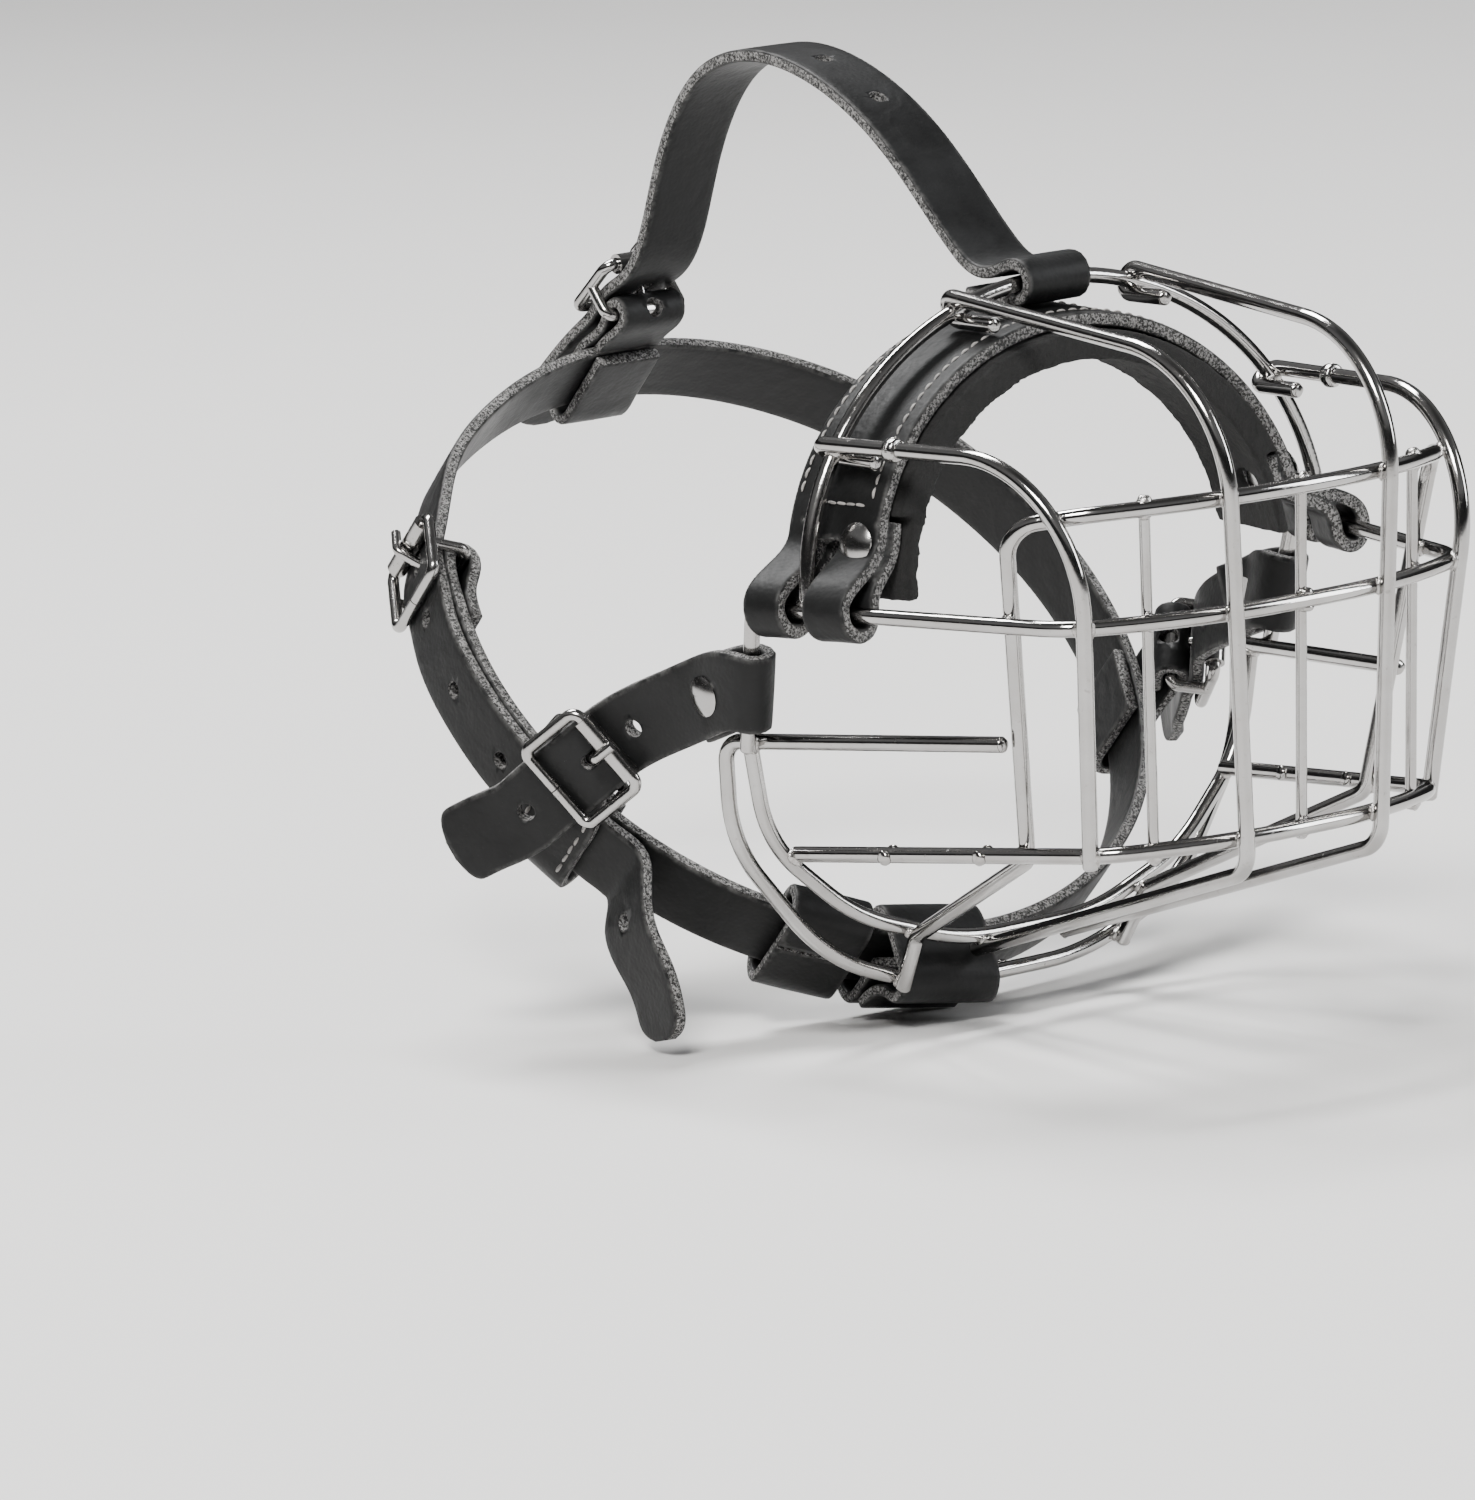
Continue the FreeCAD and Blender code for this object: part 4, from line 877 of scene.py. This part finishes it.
def build_nose_lining():
    """The felt inside the band: soft edges and a matted, uneven face."""
    mesh, _ = solid_mesh("nose_band_lining")
    data = bpy.data.meshes.new("nose_band_felt")
    mesh.to_mesh(data)
    mesh.free()
    felt = bpy.data.objects.new("nose_band_felt", data)
    bpy.context.scene.collection.objects.link(felt)
    remesh(felt, 0.55, 5, [FELT])
    for vertex in felt.data.vertices:
        place = vertex.co / MM
        fuzz = noise.noise(place * 1.6) * 0.12 + noise.noise(place * 0.35) * 0.14 - 0.10
        vertex.co += vertex.normal * fuzz * MM
    give(felt, "felt_lining", "nose_band_lining")


# ---------------------------------------------------------------- welds and wire ends
END_SEED, END_AREA_ERROR = 3, 0.12


def is_wire(node):
    return node.endswith("_wire") or "_bar_" in node


def clusters(places, reach=4.0):
    """Groups points that lie within reach of each other."""
    groups = []
    for place in places:
        home = next((g for g in groups if any((place - p).length < reach for p in g)), None)
        if home is None:
            groups.append([place])
        else:
            home.append(place)
    return groups


def blob(points, faces, middle, radii, axes, seed):
    """Adds a lumpy ellipsoid to a growing mesh; the seed picks its lumps."""
    mesh = bmesh.new()
    bmesh.ops.create_icosphere(mesh, subdivisions=3, radius=1.0)
    first = len(points)
    for vertex in mesh.verts:
        lump = 1 + 0.16 * noise.noise(vertex.co * 1.7 + Vector((seed, 0, 0)))
        place = middle.copy()
        for axis, radius, share in zip(axes, radii, vertex.co):
            place = place + axis * (radius * share * lump)
        points.append(place)
    faces += [tuple(first + v.index for v in face.verts) for face in mesh.faces]
    mesh.free()


def contact(mesh, faces, tree, step=0.6, close=0.4):
    """Points on the edges of some faces that lie on another wire's surface, in millimetres."""
    places = []
    for edge in {edge for i in faces for edge in mesh.faces[i].edges}:
        start, end = (vertex.co / MM for vertex in edge.verts)
        count = max(1, math.ceil((end - start).length / step))
        for k in range(count + 1):
            place = start.lerp(end, k / count)
            if tree.find_nearest(place * MM, close * MM)[0] is not None:
                places.append(place)
    return places


def build_welds():
    """A bead of metal where two wires are welded, as long as their contact."""
    trees = {}
    points, faces = [], []
    for one, other in frame["record"]["behaviour"].get("press_fits", []):
        if not (is_wire(one) and is_wire(other)):
            continue
        for node in (one, other):
            if node not in trees:
                trees[node] = solid_mesh(node)
        mesh, tree = trees[one]
        mesh.faces.ensure_lookup_table()
        hits = {a for a, _ in tree.overlap(trees[other][1])}
        places = contact(mesh, hits, trees[other][1])
        for seed, group in enumerate(clusters(places)):
            cloud = np.array([tuple(p) for p in group])
            middle = Vector(cloud.mean(axis=0))
            spread, axes = np.linalg.eigh(np.cov((cloud - cloud.mean(axis=0)).T) + np.eye(3) * 1e-6)
            reach = [min(3.4, 0.85 + 1.0 * math.sqrt(max(s, 0))) for s in spread]
            blob(points, faces, middle, reach, [Vector(axes[:, k]) for k in range(3)], seed + len(points))
    for mesh, _ in trees.values():
        mesh.free()
    beads = piece_from("weld_beads", points, faces, [WELD])
    outward(beads)
    give(beads, "basket_chrome")


def build_wire_ends():
    """Rounds the sawn ends of the wires."""
    points, faces = [], []
    for node in sorted(frame["nodes"]):
        if not is_wire(node):
            continue
        radius = (THIN_WIRE if node.startswith("front_bar") else WIRE) / 2
        mesh, _ = solid_mesh(node)
        caps = {}
        for face in mesh.faces:
            key = tuple(round(c, 3) for c in face.normal) + (round(face.normal.dot(face.verts[0].co), 5),)
            caps.setdefault(key, []).append(face)
        for group in caps.values():
            area = sum(face.calc_area() for face in group) / MM ** 2
            if abs(area / (math.pi * radius ** 2) - 1) > END_AREA_ERROR:
                continue
            corners = {v for face in group for v in face.verts}
            middle = sum((v.co for v in corners), Vector()) / len(corners) / MM
            normal = group[0].normal.copy()
            side = normal.orthogonal().normalized()
            axes = (side, normal.cross(side), normal)
            blob(points, faces, middle, (radius, radius, radius * 0.5), axes, END_SEED)
        mesh.free()
    ends = piece_from("wire_ends", points, faces, [CHROME])
    outward(ends)
    give(ends, "basket_chrome")


# ---------------------------------------------------------------- metal that the CAD made
def dress_metal():
    """Materials for the wires, buckles and rivets."""
    slots = {entry["node"]: entry["material_slot"] for entry in frame["record"]["subparts"]}
    for node, thing in frame["nodes"].items():
        material = METAL_BY_SLOT.get(slots[node])
        if material is None:
            continue
        for place in range(len(thing.material_slots)):
            thing.material_slots[place].material = material


# ---------------------------------------------------------------- studio
CAMERA_PLACE = Vector((-0.9681, -1.1555, 0.2512))
CAMERA_AZIMUTH, CAMERA_ELEVATION, CAMERA_ROLL = (math.radians(v) for v in (-37.954, 10.505, -2.843))
CAMERA_LENS = 228.0


def build_camera():
    data = bpy.data.cameras.new("camera")
    data.lens = CAMERA_LENS
    data.clip_start, data.clip_end = 0.05, 60.0
    camera = bpy.data.objects.new("camera", data)
    a, e = CAMERA_AZIMUTH, CAMERA_ELEVATION
    back = Vector((math.sin(a) * math.cos(e), -math.cos(a) * math.cos(e), math.sin(e)))
    level = Vector((math.cos(a), math.sin(a), 0))
    upright = back.cross(level)
    right = level * math.cos(CAMERA_ROLL) + upright * math.sin(CAMERA_ROLL)
    turn = Matrix((right, back.cross(right), back)).transposed().to_4x4()
    camera.matrix_world = Matrix.Translation(CAMERA_PLACE) @ turn
    bpy.context.scene.collection.objects.link(camera)
    bpy.context.scene.camera = camera


def area_light(name, place, aim, size, power, tint=(1, 1, 1)):
    data = bpy.data.lights.new(name, "AREA")
    data.shape, data.size, data.size_y = "RECTANGLE", size[0], size[1]
    data.energy, data.color = power, tint
    light = bpy.data.objects.new(name, data)
    light.location = place
    light.rotation_mode = "QUATERNION"
    light.rotation_quaternion = (Vector(aim) - Vector(place)).to_track_quat("-Z", "Y")
    bpy.context.scene.collection.objects.link(light)


def build_studio():
    """A pale floor, large soft lights, and a plain sky with a dark band for the chrome to reflect."""
    low = cad_box[0][2]
    size = 12.0
    mesh = bpy.data.meshes.new("floor")
    corners = [(x * size, y * size, low - 0.0002) for x, y in ((-1, -1), (1, -1), (1, 1), (-1, 1))]
    mesh.from_pydata(corners, [], [(0, 1, 2, 3)])
    mesh.materials.append(floor_material())
    floor = bpy.data.objects.new("floor", mesh)
    bpy.context.scene.collection.objects.link(floor)
    area_light("key", (-1.3, -0.9, 1.7), (0, 0.02, 0), (0.8, 0.6), 74.0, (1.0, 0.99, 0.97))
    area_light("fill", (1.5, -1.4, 0.9), (0, 0.02, 0), (0.6, 1.2), 26.0, (0.96, 0.98, 1.0))
    area_light("top", (0.1, 0.9, 1.6), (0, 0.05, 0), (1.0, 0.5), 58.0)
    world = bpy.data.worlds.new("studio")
    bpy.context.scene.world = world
    world.use_nodes = True
    nodes, links = world.node_tree.nodes, world.node_tree.links
    place = nodes.new("ShaderNodeTexCoord")
    split = nodes.new("ShaderNodeSeparateXYZ")
    ramp = nodes.new("ShaderNodeValToRGB")
    links.new(place.outputs["Generated"], split.inputs[0])
    links.new(split.outputs["Z"], ramp.inputs[0])
    ramp.color_ramp.elements[0].position, ramp.color_ramp.elements[0].color = 0.0, (0.62, 0.62, 0.63, 1)
    ramp.color_ramp.elements[1].position, ramp.color_ramp.elements[1].color = 1.0, (0.10, 0.10, 0.10, 1)
    for position, value in ((0.06, 0.05), (0.34, 0.05), (0.44, 0.42), (0.70, 0.34)):
        ramp.color_ramp.elements.new(position).color = (value, value, value * 1.01, 1)
    background = nodes["Background"]
    links.new(ramp.outputs[0], background.inputs[0])
    background.inputs["Strength"].default_value = 0.55


dress_metal()
build_cheek_straps()
build_neck_strap()
build_forehead_strap()
build_tab("cheek_tab_leather_right", "cheek_tab_right", CHEEK_SEAT, CHEEK_TURN, NECK_OUTER)
build_tab("cheek_tab_leather_left", "cheek_tab_left", CHEEK_SEAT, CHEEK_TURN, NECK_RADIUS, mirror=True)
build_tab("crown_tab_leather", "crown_tab", CROWN_SEAT, CROWN_TURN, NECK_RADIUS)
build_chin_tab()
build_nose_band()
build_nose_lining()
build_welds()
build_wire_ends()
build_studio()
build_camera()
